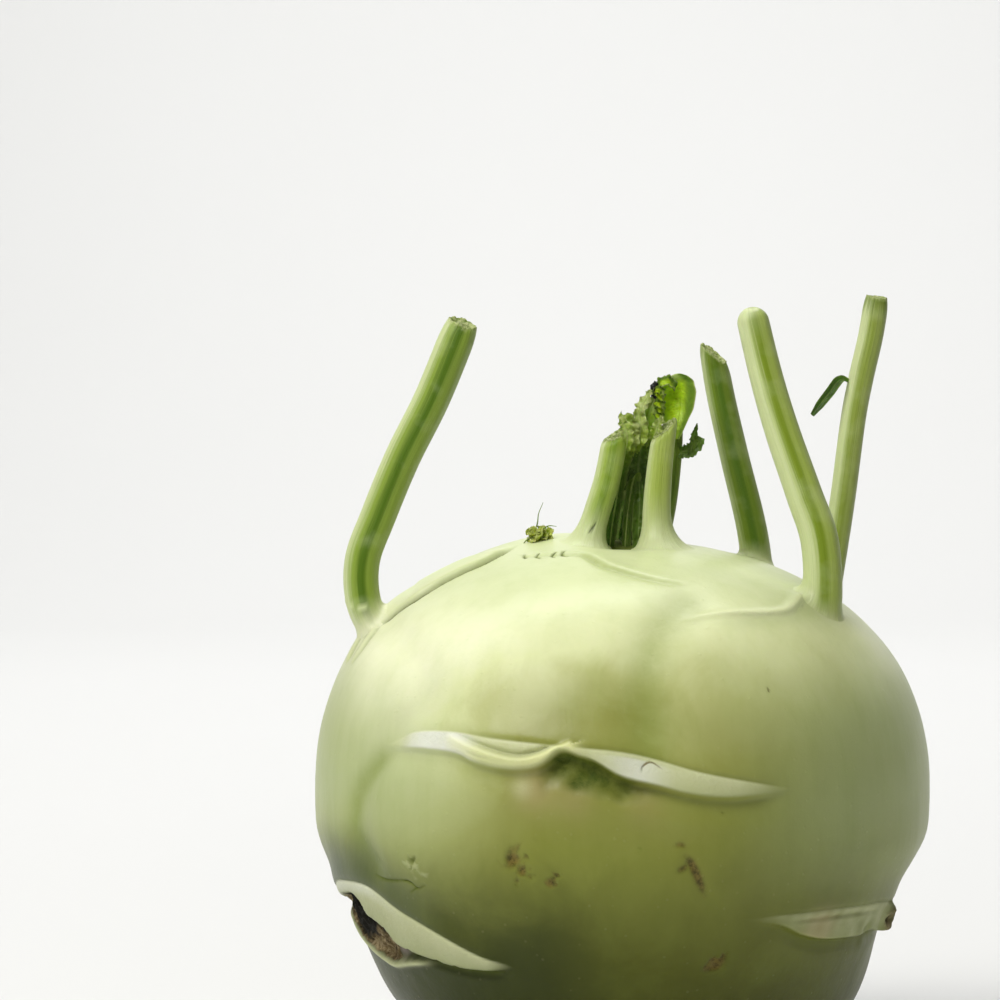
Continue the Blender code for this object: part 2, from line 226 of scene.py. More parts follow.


# %% [markdown]
# ## Leaf scars
# Where an old leaf broke off, a pale crescent of healed tissue runs across the bulb. The skin above bulges
# over it, and below it there is a recess. Each crescent has an upper and a lower edge, given as elevations
# at a few bearings, and the height changes with the distance from them. Every scar also leaves masks on the
# mesh, which the skin's material reads later: pale healed tissue, brown cork, small bruises, and painted
# shade: dark green in the recesses and along the upper crease, and a greener lower part of the pale band.

# %% A crescent scar
MASKS = ("pale", "cork", "recess", "bruise", "stain", "shade", "dusk", "char", "ash", "flap", "silver")


def blank_masks(skin):
    return {name: np.zeros(len(skin.directions)) for name in MASKS}


def raise_mask(masks, name, share):
    """Raises a mask to a share, where it is lower."""
    masks[name] = np.maximum(masks[name], share)


def inside_of(over, under):
    """1 between a scar's two edges."""
    return soft_step(over, 0.2, -0.3) * soft_step(under, 0.35, -0.25)


def crescent(skin, masks, upper, lower, ends, lift, drop, below, shadow, tone=1.0, line=1.0):
    """A pale band between two edges, on a lip that falls off into a recess."""
    over = (skin.elevation - skin.edge(upper)) * MM_PER_DEGREE
    under = (skin.edge(lower) - skin.elevation) * MM_PER_DEGREE
    fade = soft_step(skin.bearing, *ends[0]) * (1.0 - soft_step(skin.bearing, *ends[1]))
    lip = np.where(over > 0.0, hill(over, 3.4), 1.0) * (1.0 - soft_step(under, -0.35, 1.1))
    recess = soft_step(under, 0.0, 1.2) * (1.0 - soft_step(under, 1.6, below))
    crease = hill(over - 0.1, 0.4)
    inside = inside_of(over, under)
    down = np.clip(-over, 0.0, None) / (np.abs(over) + np.abs(under) + 0.01)
    raise_mask(masks, "pale", tone * inside * fade * (1.0 - 0.45 * down))
    # Painted shade: greener on the lower part of the band, and dark green in the recess under the lip and
    # along the upper crease.
    raise_mask(masks, "shade", tone * inside * fade * 0.5 * down)
    raise_mask(masks, "recess", fade * shadow * recess * soft_step(under, 3.2, 0.8))
    raise_mask(masks, "recess", 0.20 * fade * crease * line)
    return fade * (lift * lip - drop * recess - 0.14 * crease * line), over, under, fade


# %% [markdown]
# ## The front scar
# This scar is the longest. A flap of skin has curled away from it, and the flap shades a dark pit.

# %% The long front scar, with its curled flap and dark pit
FRONT_UPPER = ((-47, 14.8), (-44, 15.9), (-40, 17.0), (-31.5, 17.4), (-23.5, 16.7), (-12, 15.9),
               (2.5, 14.7), (14, 11.4), (26, 9.0), (31, 8.2))
FRONT_LOWER = ((-47, 14.3), (-37, 14.4), (-30, 14.0), (-26, 12.6), (-21, 11.8), (-16.5, 11.9),
               (-13.5, 12.9), (-10.5, 15.2), (-7.5, 14.5), (-4.5, 13.6), (0, 11.2), (6, 9.7), (12, 8.1),
               (19, 7.4), (31, 8.0))
FRONT_FLAP = ((-33, 16.6), (-31, 16.2), (-26, 14.5), (-19, 13.1), (-14.5, 13.7), (-11, 15.3), (-9, 16.0))


def front_scar(skin, masks):
    deep = soft_step(skin.bearing, -14, -6) * (1.0 - 0.8 * soft_step(skin.bearing, 4, 20))
    rise, over, under, fade = crescent(skin, masks, FRONT_UPPER, FRONT_LOWER, ((-50, -41), (20, 32)),
                                       0.85, 0.25 + 0.55 * deep, 5.5, 0.08 + 0.40 * deep,
                                       line=soft_step(skin.bearing, -30, -22))
    flap_gap, flap_along, flap_side = skin.line(FRONT_FLAP)
    flap = np.where(flap_side > 0.0, hill(flap_gap, 0.55), hill(flap_gap, 1.7))
    flap *= soft_step(flap_along, 0.02, 0.25)
    flap *= 1.0 - soft_step(under, -0.6, 0.5)
    pocket = hill(flap_gap - 1.15, 0.4) * soft_step(over, 0.0, -0.5) * soft_step(flap_along, 0.15, 0.4)
    pocket *= 1.0 - soft_step(under, -1.2, -0.6)
    ragged = 0.5 * lumps(skin.directions * BULB_RADIUS, 2.0, 31.0)
    depth = 5.8 - 0.28 * np.abs(skin.bearing + 8.0) + ragged
    pit = soft_step(under, 0.0, 0.45) * soft_step(under, depth + 1.8, depth - 1.4)
    pit *= soft_step(skin.bearing, -15.5, -11.0) * soft_step(skin.bearing, 9.0, 0.0)
    shelf = skin.near(-24, 9.0, 7.0) * soft_step(under, 1.0, 4.0)
    # The pit under the flap and the pocket above the flap are painted dark green, as the flap's shade.
    dark = (0.84 + 0.5 * ragged) * (1.0 - 0.3 * soft_step(skin.bearing, -5.0, 3.0))
    raise_mask(masks, "recess", pit * dark)
    raise_mask(masks, "flap", (0.45 + 0.5 * soft_step(flap_along, 0.45, 0.8)) * flap * fade)
    raise_mask(masks, "recess", 0.55 * pocket * fade)
    silver = inside_of(over, under) * soft_step(skin.bearing, -46, -38) * soft_step(skin.bearing, -24, -31)
    raise_mask(masks, "silver", silver)
    # A silver-white patch on the band near the front middle: painted highlight.
    raise_mask(masks, "silver", 0.8 * inside_of(over + 0.7, under) * hill(skin.bearing - 2.5, 5.0))
    # A small pale spot just below the scar: painted highlight.
    raise_mask(masks, "pale", 0.42 * skin.near(-17.3, 8.7, 1.8))
    bruised = 1.0 * skin.near(-15, 8.6, 3.6) + 0.6 * skin.near(-8, 7.2, 3.5)
    masks["bruise"] += bruised + 0.45 * skin.near(4, 6.6, 3.6)
    return rise + 0.7 * flap - 0.7 * pocket - (1.1 + 0.3 * ragged) * pit + 0.35 * shelf


# %% [markdown]
# ## The lower left scar
# Here the skin is torn. Brown cork shows in the tear, and a pale rim runs along its lower edge.

# %% The lower left scar, with its torn cork
LEFT_UPPER = ((-92, -20), (-82, -16.5), (-72, -13.4), (-64, -12.0), (-56.5, -11.6), (-51.5, -12.8),
              (-46.5, -15.2), (-40, -17.6), (-34.5, -19.8), (-29, -21.9), (-24.5, -23.4), (-21, -24.8))
LEFT_LOWER = ((-92, -20.6), (-82, -17.6), (-72, -15.8), (-64, -14.5), (-61, -15.7), (-59.5, -18.3),
              (-55.5, -19.4), (-52.5, -21.0), (-50.5, -22.9), (-45, -23.9), (-39.4, -24.6), (-35.5, -25.1),
              (-30.4, -25.3), (-21, -24.9))
LEFT_RIM = ((-92, -21.2), (-84, -22.8), (-77, -25.5), (-68, -27.4), (-62, -28.4), (-57, -28.9),
            (-51, -27.7), (-44, -26.4), (-36, -25.9), (-30, -25.6), (-21, -25.2))


def left_scar(skin, masks):
    rise, over, under, fade = crescent(skin, masks, LEFT_UPPER, LEFT_LOWER, ((-92, -84), (-27, -21)), 1.2,
                                       0.5, 3.0, 0.6, tone=0.9)
    ragged = lumps(skin.directions * BULB_RADIUS, 1.7, 41.0)
    above_rim = (skin.elevation - skin.edge(LEFT_RIM)) * MM_PER_DEGREE
    torn = soft_step(under + 0.9 * ragged, 0.0, 0.6) * soft_step(above_rim + 0.4 * ragged, 0.3, 0.9)
    torn *= fade
    torn_end = soft_step(skin.bearing + 2.5 * ragged, -54, -58)
    rim = hill(above_rim, 0.6) * fade * soft_step(skin.bearing, -40, -47)
    raise_mask(masks, "cork", torn * torn_end)
    raise_mask(masks, "pale", 0.8 * rim)
    # Where the tear holds no cork it is painted dark green, as shade.
    raise_mask(masks, "recess", torn * (1.0 - torn_end) * 0.95)
    masks["pale"] *= 1.0 - 0.8 * torn * torn_end
    raise_mask(masks, "ash", soft_step(torn, 0.2, 0.8) * 1.3 * skin.near(-54.6, -24.6, 3.2))
    charred = (2.0 * skin.near(-73.5, -18.6, 6.5) + 0.9 * skin.near(-60.5, -20.6, 2.6)
               + 0.8 * skin.near(-56, -24.5, 1.2) + 0.7 * skin.near(-66.0, -22.5, 2.0))
    raise_mask(masks, "char", torn * np.clip(charred + 0.3 * ragged, 0.0, 1.0))
    bright = 0.6 * inside_of(over, under) * soft_step(skin.bearing, -44, -58)
    bright = bright * soft_step(over, -3.2, -0.6) * fade
    raise_mask(masks, "silver", bright)
    # Painted shade: a grey-green band over the skin above the scar.
    dusk = soft_step(over, 13.0, 1.5) * soft_step(over, -0.2, 0.2) * soft_step(skin.bearing, -33, -44)
    dusk *= (0.68 + 0.3 * soft_step(skin.bearing, -44, -62)) * soft_step(skin.bearing, -112, -86)
    raise_mask(masks, "dusk", dusk)
    depth = 0.6 + 0.9 * soft_step(skin.bearing, -74, -60)
    return rise - depth * torn + 0.6 * rim


# %% [markdown]
# ## The lower right scar
# A fold runs through this scar, and a small knob sits on its lower edge.

# %% The lower right scar, with its knob
RIGHT_UPPER = ((22, -14.6), (25.2, -14.7), (30, -14.4), (36.6, -14.3), (47, -14.6), (58.5, -15.4),
               (66.6, -16.4), (76, -17.6), (88, -18.8), (100, -20.5))
RIGHT_LOWER = ((22, -14.9), (30.3, -16.1), (36, -18.5), (41, -19.9), (45.4, -20.6), (50.5, -21.0),
               (56.9, -21.4), (60, -20.9), (64, -21.8), (68.6, -21.6), (76, -20.6), (88, -20.6),
               (100, -21.0))
KNOB = (67.5, -19.6)


def right_scar(skin, masks):
    rise, over, under, fade = crescent(skin, masks, RIGHT_UPPER, RIGHT_LOWER, ((22, 38), (88, 98)), 0.75,
                                       0.5, 4.0, 0.3, tone=0.60)
    fold = hill(over + 1.5, 0.45) * soft_step(skin.bearing, 31, 38) * soft_step(skin.bearing, 62, 52)
    mottle = 0.9 + 0.5 * lumps(skin.directions * BULB_RADIUS, 2.4, 51.0) - 0.45 * fold
    masks["pale"] = np.where(inside_of(over, under) * fade > 0.02, masks["pale"] * mottle, masks["pale"])
    knob = soft_step(skin.near(*KNOB, 2.9), 0.12, 0.7)
    cavity = skin.near(KNOB[0] - 1.6, KNOB[1] + 0.1, 0.9)
    raise_mask(masks, "char", 0.7 * cavity + 0.5 * skin.near(KNOB[0] + 2.2, KNOB[1] - 0.8, 0.9))
    notch = skin.near(57.5, -20.4, 1.3)
    raise_mask(masks, "cork", 0.42 * knob)
    pink = skin.near(40.5, -18.3, 3.4) * soft_step(under, 0.3, -0.2)
    masks["bruise"] += 1.6 * pink
    masks["pale"] *= 1.0 - 0.55 * pink
    # The knob's cavity and the notch are painted dark green, as shade.
    raise_mask(masks, "recess", np.clip(cavity + 0.7 * notch, 0.0, 1.0))
    return rise + 1.5 * knob - 1.3 * cavity - 0.5 * notch - 0.3 * fold


# %% [markdown]
# The back gets two scars of the same kind, because the leaves of a kohlrabi are spaced evenly
# round it. Thin ridges run from the two big stalks over the shoulders, and a shallow crease lies
# in front of the crown.

# %% Back scars, ridges and crease
# Upper edge, lower edge, and the bearings between which the two ends fade.
BACK_SCARS = (
    (((-174, -13), (-160, -11), (-148, -10), (-134, -12), (-120, -16), (-108, -20)),
     ((-174, -13.6), (-160, -12.9), (-148, -13.0), (-134, -15), (-120, -18), (-108, -20.6)),
     ((-174, -166), (-118, -108))),
    (((122, 8), (132, 11), (144, 13.4), (156, 12.6), (168, 9.5), (179, 6)),
     ((122, 7.4), (132, 9.0), (144, 10.4), (156, 9.6), (168, 7.6), (179, 5.4)),
     ((122, 130), (168, 179))),
)
LEFT_STEP = ((-76, 35), (-71, 40.4), (-67.5, 43.3), (-65.8, 46.7), (-65, 50), (-63.5, 53.6), (-62, 57.5),
             (-66, 62.5), (-79, 68))
BULGE_EDGE = ((-44.9, 15.6), (-52, 9.5), (-56, 4.5), (-56.9, -1.8), (-51.6, -6.5), (-46.3, -9.3))
FOOT_FOLDS = (((-77, 34), (-74.5, 34.2), (-72.7, 30.7), (-73.4, 27.4)),
              ((-79, 33), (-78, 29.5), (-77.5, 27)))
RIGHT_RIDGE = ((57.2, 46.6), (52.6, 44.9), (46.7, 42.8), (41.8, 41.8), (33.8, 41.7), (26.8, 42.1),
               (20.8, 42.1), (15.2, 41.2), (9, 39))
CROWN_CREASE = ((-47, 62), (-30, 65.5), (-18.5, 65.5), (-8, 60), (0, 56.6), (10, 53), (21, 50.5))


def ridges(skin, masks):
    rise = np.zeros(len(skin.directions))
    for upper, lower, ends in BACK_SCARS:
        rise += crescent(skin, masks, upper, lower, ends, 1.0, 0.6, 5.0, 0.25)[0]
    gap, along, side = skin.line(LEFT_STEP)
    fade = soft_step(along, 0.0, 0.08) * soft_step(along, 1.0, 0.85)
    over = gap * side
    start = soft_step(along, 0.0, 0.35)
    rise += fade * ((0.3 + 0.65 * start) * soft_step(over, -0.35, 0.9) * soft_step(over, 18.0, 7.0)
                    - 0.4 * hill(over + 0.35, 0.5))
    raise_mask(masks, "pale", 0.5 * fade * hill(over - 1.6, 1.3))
    # Painted shade: a dark line under the raised band.
    raise_mask(masks, "recess", 0.8 * fade * hill(over + 0.3, 0.48))
    gap, along, _ = skin.line(BULGE_EDGE)
    fade = soft_step(along, 0.0, 0.15) * soft_step(along, 1.0, 0.8)
    rise -= 0.55 * fade * hill(gap, 2.8)
    # Painted shade along the edge of the bulge.
    raise_mask(masks, "shade", 0.6 * fade * hill(gap, 2.2))
    for places in FOOT_FOLDS:
        gap, along, _ = skin.line(places)
        fade = tapered(along, 0.5)
        rise += fade * (0.35 * hill(gap, 0.6) - 0.15 * hill(gap - 1.1, 0.5))
        raise_mask(masks, "pale", 0.6 * fade * hill(gap, 0.6))
        # Painted shade beside each fold.
        raise_mask(masks, "shade", 0.5 * fade * hill(gap - 1.1, 0.5))
    gap, along, side = skin.line(RIGHT_RIDGE)
    fade = soft_step(along, 1.0, 0.55) * soft_step(along, -0.02, 0.13)
    root = soft_step(along, 0.45, 0.0)
    rise += fade * ((0.40 + 0.20 * root) * hill(gap, 0.85 + 0.35 * root) + 0.25 * hill(gap, 3.5))
    # Painted shade below the ridge.
    raise_mask(masks, "shade", 0.16 * fade * hill(gap - 2.4, 1.2) * (side > 0))
    raise_mask(masks, "pale", 0.8 * fade * hill(gap - 0.25 * side, 0.8))
    gap, along, side = skin.line(CROWN_CREASE)
    fade = tapered(along, 0.6)
    rise += fade * (0.35 * hill(gap - 1.4, 1.4) * (side > 0) - 0.4 * hill(gap, 0.9))
    # Painted shade in the crease.
    raise_mask(masks, "shade", 0.55 * fade * hill(gap, 1.1))
    # Painted shade in the valley of the first fold.
    valley = skin.line(FOLDS[0][2])[0]
    raise_mask(masks, "shade", 0.45 * hill(valley, 3.5))
    return rise


# %% [markdown]
# ## Small marks
# A real bulb is never clean. It has brown pits with a raised rim, a streak, a scratch, dark
# specks, and a row of tiny slits near the crown where scale leaves fell off.

# %% Pits, streaks and slits
# Bearing and elevation, size in degrees, depth in millimetres, and how brown it is.
PITS = (
    (-19.0, -3.6, 1.5, 0.6, 1.1), (-17.3, -5.4, 1.0, 0.30, 1.0), (-16.0, -6.4, 0.5, 0.15, 0.6),
    (-11.2, -6.1, 0.50, 0.25, 1.0), (-12.2, -7.4, 0.85, 0.25, 1.05), (18.5, -23.5, 1.25, 0.6, 1.2),
    (-40.2, -5.6, 0.8, 0.6, 0.1), (29.0, 25.2, 0.32, 0.15, 0.9), (17.7, 4.6, 0.25, 0.1, 0.5),
    (3.2, -1.1, 0.25, 0.1, 0.4), (-18.6, -8.2, 0.35, 0.08, 0.5), (20.6, -21.2, 0.25, 0.08, 0.6),
    (128, 30, 0.5, 0.2, 0.8), (-150, 8, 0.9, 0.4, 0.8), (164, -8, 0.6, 0.3, 0.9),
    (-112, 2, 0.5, 0.2, 0.7), (100, -2, 0.6, 0.3, 0.8),
)
# Width and depth in millimetres, how brown it is, and the line it follows.
STREAKS = (
    (0.85, 0.35, 1.15, ((11.2, -2.6), (12.3, -4.2), (13.4, -6.4), (14.9, -9.8))),
    (0.62, 0.12, 0.75, ((9.2, -0.8), (10.2, -0.6), (11.2, -1.1))),
    (0.75, 0.15, 0.85, ((9.6, -5.4), (10.6, -4.8), (11.6, -4.2))),
    (0.20, 0.10, 1.00, ((3.5, 11.7), (3.7, 12.7), (5.2, 13.4), (7.1, 12.2))),
    (0.22, 0.22, 0.0, ((-51.5, -9.4), (-48.3, -9.9), (-42.2, -9.5), (-39.9, -10.6), (-37.8, -9.9))),
    (0.20, 0.18, 0.0, ((-42.0, -11.6), (-40.6, -10.8), (-39.6, -10.5))),
    (0.30, 0.20, 0.6, ((140, -16), (147, -18), (151, -22))),
)
STREAK_LINES = [places for *_, places in STREAKS]
SLITS = (((-45.2, 62.0), (-47.5, 62.6), (-50.0, 63.6)), ((-38.2, 62.6), (-41.6, 63.3), (-43.0, 64.9)),
         ((-32.0, 63.6), (-34.8, 64.5), (-35.2, 66.2)), ((-26.2, 64.5), (-30.6, 65.6), (-31.8, 67.8)))


def small_marks(skin, masks):
    rise = np.zeros(len(skin.directions))
    for bearing, elevation, size, depth, brown in PITS:
        angle = skin.angle_to(bearing, elevation)
        close = angle < 6.0 * size
        lobes = np.zeros(len(angle))
        lobes[close] = lumps(skin.directions[close] * BULB_RADIUS, 0.9 * size, bearing)
        angle = angle * (1.0 + 0.9 * lobes)
        hollow = hill(angle, size)
        rim = hill(angle - 1.6 * size, 0.6 * size) * (skin.elevation < elevation)
        rise += 0.16 * depth * rim - depth * hollow
        raise_mask(masks, "stain", brown * hill(angle, 1.15 * size))
        # The hollow of a pit is painted dark green, as shade.
        raise_mask(masks, "recess", (0.6 - 0.4 * brown) * hollow)
        raise_mask(masks, "pale", 0.35 * rim * (brown < 0.3))
    for width, depth, brown, places in STREAKS:
        gap, along, _ = skin.line(places)
        mark = hill(gap, width) * tapered(along, 0.4, 0.03)
        rise -= depth * mark
        raise_mask(masks, "stain", brown * mark)
        # A streak's groove is painted dark green, as shade, where it is not brown.
        raise_mask(masks, "recess", (0.75 - 0.7 * brown) * mark)
    for places in SLITS:
        mark = hill(skin.line(places)[0], 0.27)
        rise -= 0.3 * mark
        # Slits are painted dark, as shade.
        raise_mask(masks, "recess", 0.85 * mark)
    raise_mask(masks, "cork", 0.85 * soft_step(skin.elevation, -74.0, -79.0))
    # The middle of the crown, between the stalks, is painted dark green, as shade.
    raise_mask(masks, "recess", soft_step(skin.near(10, 84.5, 6.5), 0.35, 0.75))
    return rise


def full_reach(skin, masks):
    """The whole shape: body, scars, ridges and small marks."""
    reach = body_reach(skin)
    for feature in (front_scar, left_scar, right_scar, ridges, small_marks):
        reach += feature(skin, masks)
    return reach


# %% [markdown]
# ## Growing the ball
# A ball turned from a profile has a pole at the crown, where its faces are pinched just where the
# finest detail sits. So the bulb starts as a cube whose faces are cut into a grid, and it is
# blown up to a ball. The grid is cut finer, in steps, only near scars, ridges and marks, so the
# small shapes are real geometry and the mesh stays light.

# %% A ball from a cube, cut finer near the marks
BULB_CELLS = 60
SCAR_LINES = (FRONT_UPPER, FRONT_LOWER, LEFT_UPPER, LEFT_LOWER, LEFT_RIM, RIGHT_UPPER, RIGHT_LOWER)
BACK_LINES = [upper for upper, _, _ in BACK_SCARS]
RIDGE_LINES = (LEFT_STEP, BULGE_EDGE, RIGHT_RIDGE, CROWN_CREASE, *FOOT_FOLDS, *BACK_LINES)
PIT_PLACES = [((bearing - 0.5, elevation), (bearing + 0.5, elevation)) for bearing, elevation, *_ in PITS]
PIT_LINE = ((-12, 13), (-3, 11.4), (3, 9))
KNOB_LINE = ((64, -19.5), (70, -19.5))
CORK_LINE = ((-80, -20.5), (-66, -21), (-56, -24.5))
# Three rounds of cutting: how near in millimetres, and to which lines.
FINE_STEPS = (
    ((7.0, SCAR_LINES), (3.0, RIDGE_LINES), (3.0, PIT_PLACES), (3.0, STREAK_LINES)),
    ((3.6, SCAR_LINES), (1.3, RIDGE_LINES), (1.6, PIT_PLACES), (1.3, STREAK_LINES), (1.4, SLITS)),
    ((1.1, (FRONT_UPPER, FRONT_LOWER)), (1.6, (FRONT_FLAP, PIT_LINE)), (0.5, STREAK_LINES), (0.8, SLITS),
     (3.0, (KNOB_LINE,)), (2.6, (CORK_LINE,))),
)


def ball_from_cube():
    """A cube's faces cut into a grid, spread evenly and blown up to radius 1."""
    ball = bmesh.new()
    bmesh.ops.create_cube(ball, size=2.0)
    bmesh.ops.subdivide_edges(ball, edges=ball.edges[:], cuts=BULB_CELLS - 1, use_grid_fill=True)
    for vertex in ball.verts:
        vertex.co = Vector([math.tan(axis * math.pi / 4.0) for axis in vertex.co]).normalized()
    return ball


def cut_finer(ball, areas):
    """Halves the faces that lie within reach of the given lines."""
    ball.verts.index_update()
    skin = Skin(np.array([vertex.co for vertex in ball.verts]))
    close = np.zeros(len(skin.directions), dtype=bool)
    for reach, lines in areas:
        for places in lines:
            close |= skin.line(places)[0] < reach
    edges = [edge for edge in ball.edges if close[edge.verts[0].index] and close[edge.verts[1].index]]
    bmesh.ops.subdivide_edges(ball, edges=edges, cuts=1, use_grid_fill=True)
    for vertex in ball.verts:
        vertex.co.normalize()


ball = ball_from_cube()
for areas in FINE_STEPS:
    cut_finer(ball, areas)
    print("faces", len(ball.faces))


# %% [markdown]
# ## Out to the skin
# Each point of the ball moves out along its own direction, as far as all the swellings, scars and
# marks say. The masks are stored at the points, so the material can read them.

# %% Pushing every point out to the skin
def shaped_bulb(ball):
    """Moves the ball's points to the bulb's skin, and returns the masks left by the marks."""
    skin = Skin(np.array([vertex.co for vertex in ball.verts]))
    masks = blank_masks(skin)
    reach = full_reach(skin, masks)
    points = skin.directions * reach[:, None]
    reach += 0.10 * lumps(points, 9.0) + 0.03 * lumps(points, 2.6, 5.0)
    torn = masks["cork"] > 0.02
    torn_points = points[torn]
    grain = 0.55 * lumps(torn_points, 1.9, 11.0) + 0.35 * lumps(torn_points, 0.8, 17.0)
    reach[torn] += masks["cork"][torn] * grain * soft_step(skin.elevation[torn], -60.0, -50.0)
    pitted = masks["recess"] > 0.3
    reach[pitted] += 0.22 * masks["recess"][pitted] * lumps(points[pitted], 1.3, 23.0)
    points = skin.directions * reach[:, None] + np.array(MIDDLE)
    points[:, :2] = np.clip(points[:, :2], np.array(bulb_low[:2]) / MM, np.array(bulb_high[:2]) / MM)
    for vertex, point in zip(ball.verts, points):
        vertex.co = Vector(point) * MM
    return {name: np.clip(mask, 0.0, 1.0) for name, mask in masks.items()}


def write_mask(built, name, values):
    """Stores one number at each point of a bmesh, for a material to read."""
    layer = built.verts.layers.float.new(name)
    for vertex, value in zip(built.verts, values):
        vertex[layer] = value


for name, mask in shaped_bulb(ball).items():
    write_mask(ball, name, mask)
rest_cut = bmesh.ops.bisect_plane(ball, geom=ball.verts[:] + ball.edges[:] + ball.faces[:],
                                  plane_co=(0, 0, bulb_low.z), plane_no=(0, 0, -1), clear_outer=True)
rest_edges = [item for item in rest_cut["geom_cut"] if isinstance(item, bmesh.types.BMEdge)]
bmesh.ops.contextual_create(ball, geom=rest_edges)
print("bulb points", len(ball.verts), "rests on", len(rest_edges), "edges")


# %% [markdown]
# ## One tool for materials
# A material is a net of nodes. Written out node by node it is hard to read, so one small class
# stands for a node's output. It can be added, multiplied and so on like a number, and each such
# sum becomes a Math node. Its method `node` adds any other kind.

# %% Node outputs that behave like numbers
class Wire:
    """A node's output."""

    def __init__(self, tree, socket=None):
        self.tree = tree
        self.socket = socket

    def node(self, kind, settings, sockets, output=0):
        """Adds a node: first its settings, then the values or links of its sockets."""
        made = self.tree.nodes.new("ShaderNode" + kind)
        for name, value in settings.items():
            if name == "stops":
                while len(made.color_ramp.elements) < len(value):
                    made.color_ramp.elements.new(1.0)
                for stop, (place, colour) in zip(made.color_ramp.elements, value):
                    stop.position = place
                    stop.color = colour
            else:
                setattr(made, name, value)
        for name, value in sockets.items():
            if isinstance(value, Wire):
                self.tree.links.new(value.socket, made.inputs[name])
            else:
                made.inputs[name].default_value = value
        return Wire(self.tree, made.outputs[output] if made.outputs else None)

    def sum(self, operation, first, second):
        return self.node("Math", {"operation": operation}, {0: first, 1: second})

    def __add__(self, other):
        return self.sum("ADD", self, other)

    __radd__ = __add__

    def __sub__(self, other):
        return self.sum("SUBTRACT", self, other)

    def __rsub__(self, other):
        return self.sum("SUBTRACT", other, self)

    def __mul__(self, other):
        return self.sum("MULTIPLY", self, other)

    __rmul__ = __mul__

    def clamp(self):
        return self.node("Clamp", {}, {"Value": self})

    def step(self, start, end, low=0.0, high=1.0):
        """Goes softly from low to high while this output goes from start to end."""
        limits = {"Value": self, "From Min": start, "From Max": end, "To Min": low, "To Max": high}
        return self.node("MapRange", {"interpolation_type": "SMOOTHSTEP"}, limits)

    def mix(self, first, second, kind="MIX"):
        """Goes from the first colour to the second as this output goes from 0 to 1."""
        sockets = {0: self, 6: first, 7: second}
        return self.node("Mix", {"data_type": "RGBA", "blend_type": kind}, sockets, 2)

    def noise(self, place, scale, detail=3.0, roughness=0.55, distortion=0.0):
        """Cloudy noise, most of it from 0.3 to 0.7, at a number of clouds per metre."""
        sockets = {"Vector": place, "Scale": scale, "Detail": detail, "Roughness": roughness,
                   "Distortion": distortion}
        return self.node("TexNoise", {}, sockets)

    def stretched(self, place, scale):
        return self.node("Mapping", {}, {"Vector": place, "Scale": scale})

    def axis(self, place, letter):
        return self.node("SeparateXYZ", {}, {0: place}, letter)

    def mask(self, name):
        """A number that the mesh carries at its points."""
        return self.node("Attribute", {"attribute_name": name}, {}, "Fac")


def paint(red, green, blue):
    """A colour as it is named on a screen, from 0 to 255, made linear for a socket."""
    shares = [value / 255.0 for value in (red, green, blue)]
    return tuple(s / 12.92 if s < 0.04045 else ((s + 0.055) / 1.055) ** 2.4 for s in shares) + (1.0,)


def start_material(name):
    """An empty node tree, and the Object coordinates that patterns are laid out on."""
    material = bpy.data.materials.new(name)
    material.use_nodes = True
    material.node_tree.nodes.clear()
    wire = Wire(material.node_tree)
    return material, wire, wire.node("TexCoord", {}, {}, "Object")


def finish_material(wire, constants, varying, bumps):
    """A Principled surface; bumps are (height in metres, strength) from the coarsest to the finest."""
    normal = None
    for height, distance in bumps:
        sockets = {"Height": height, "Distance": distance, "Strength": 1.0}
        if normal is not None:
            sockets["Normal"] = normal
        normal = wire.node("Bump", {}, sockets)
    shader = wire.node("BsdfPrincipled", {}, {**constants, **varying, "Normal": normal})
    wire.node("OutputMaterial", {}, {"Surface": shader})


# %% [markdown]
# ## The skin
# The skin is a thin waxy layer over pale flesh. It is creamy white-green on the shoulders and olive towards
# the ground. This is partly the skin's own colour and partly painted light and shade: lighter on the upper
# left, where the key light falls, and darker low down, where shade falls. More painted shade darkens a
# patch on the front, the upper right, the far left edge and the lower left, and a paler sage on the sides
# and a lighter band at the far right are painted sheen. Darker green clouds and faint lines run down from
# the crown, because the skin stretched as the bulb swelled. The same skin continues onto the foot of each
# stalk, so its colour is a function that both materials call.

# %% Skin colour
CREAM = paint(238, 241, 202)
PALE_GREEN = paint(221, 226, 172)
SPRING = paint(184, 188, 122)
OLIVE = paint(152, 155, 80)
DEEP_OLIVE = paint(133, 138, 56)
DARK_OLIVE = paint(92, 97, 28)
NIGHT_OLIVE = paint(52, 57, 14)
SHADOW_GREEN = paint(50, 58, 16)
CROWN_GREEN = paint(190, 202, 140)
SHOULDER_GREEN = paint(140, 152, 104)
CLOUD_AND_SHADE_GREEN = paint(138, 152, 72)
SHEEN_SAGE = paint(172, 184, 130)
LINE_TINT = (0.86, 0.89, 0.76, 1.0)
SKIN_HEIGHT = 0.100
SKIN_STOPS = ((0.10, NIGHT_OLIVE), (0.32, DARK_OLIVE), (0.54, DEEP_OLIVE), (0.66, OLIVE), (0.76, SPRING),
              (0.86, PALE_GREEN), (0.98, CREAM))


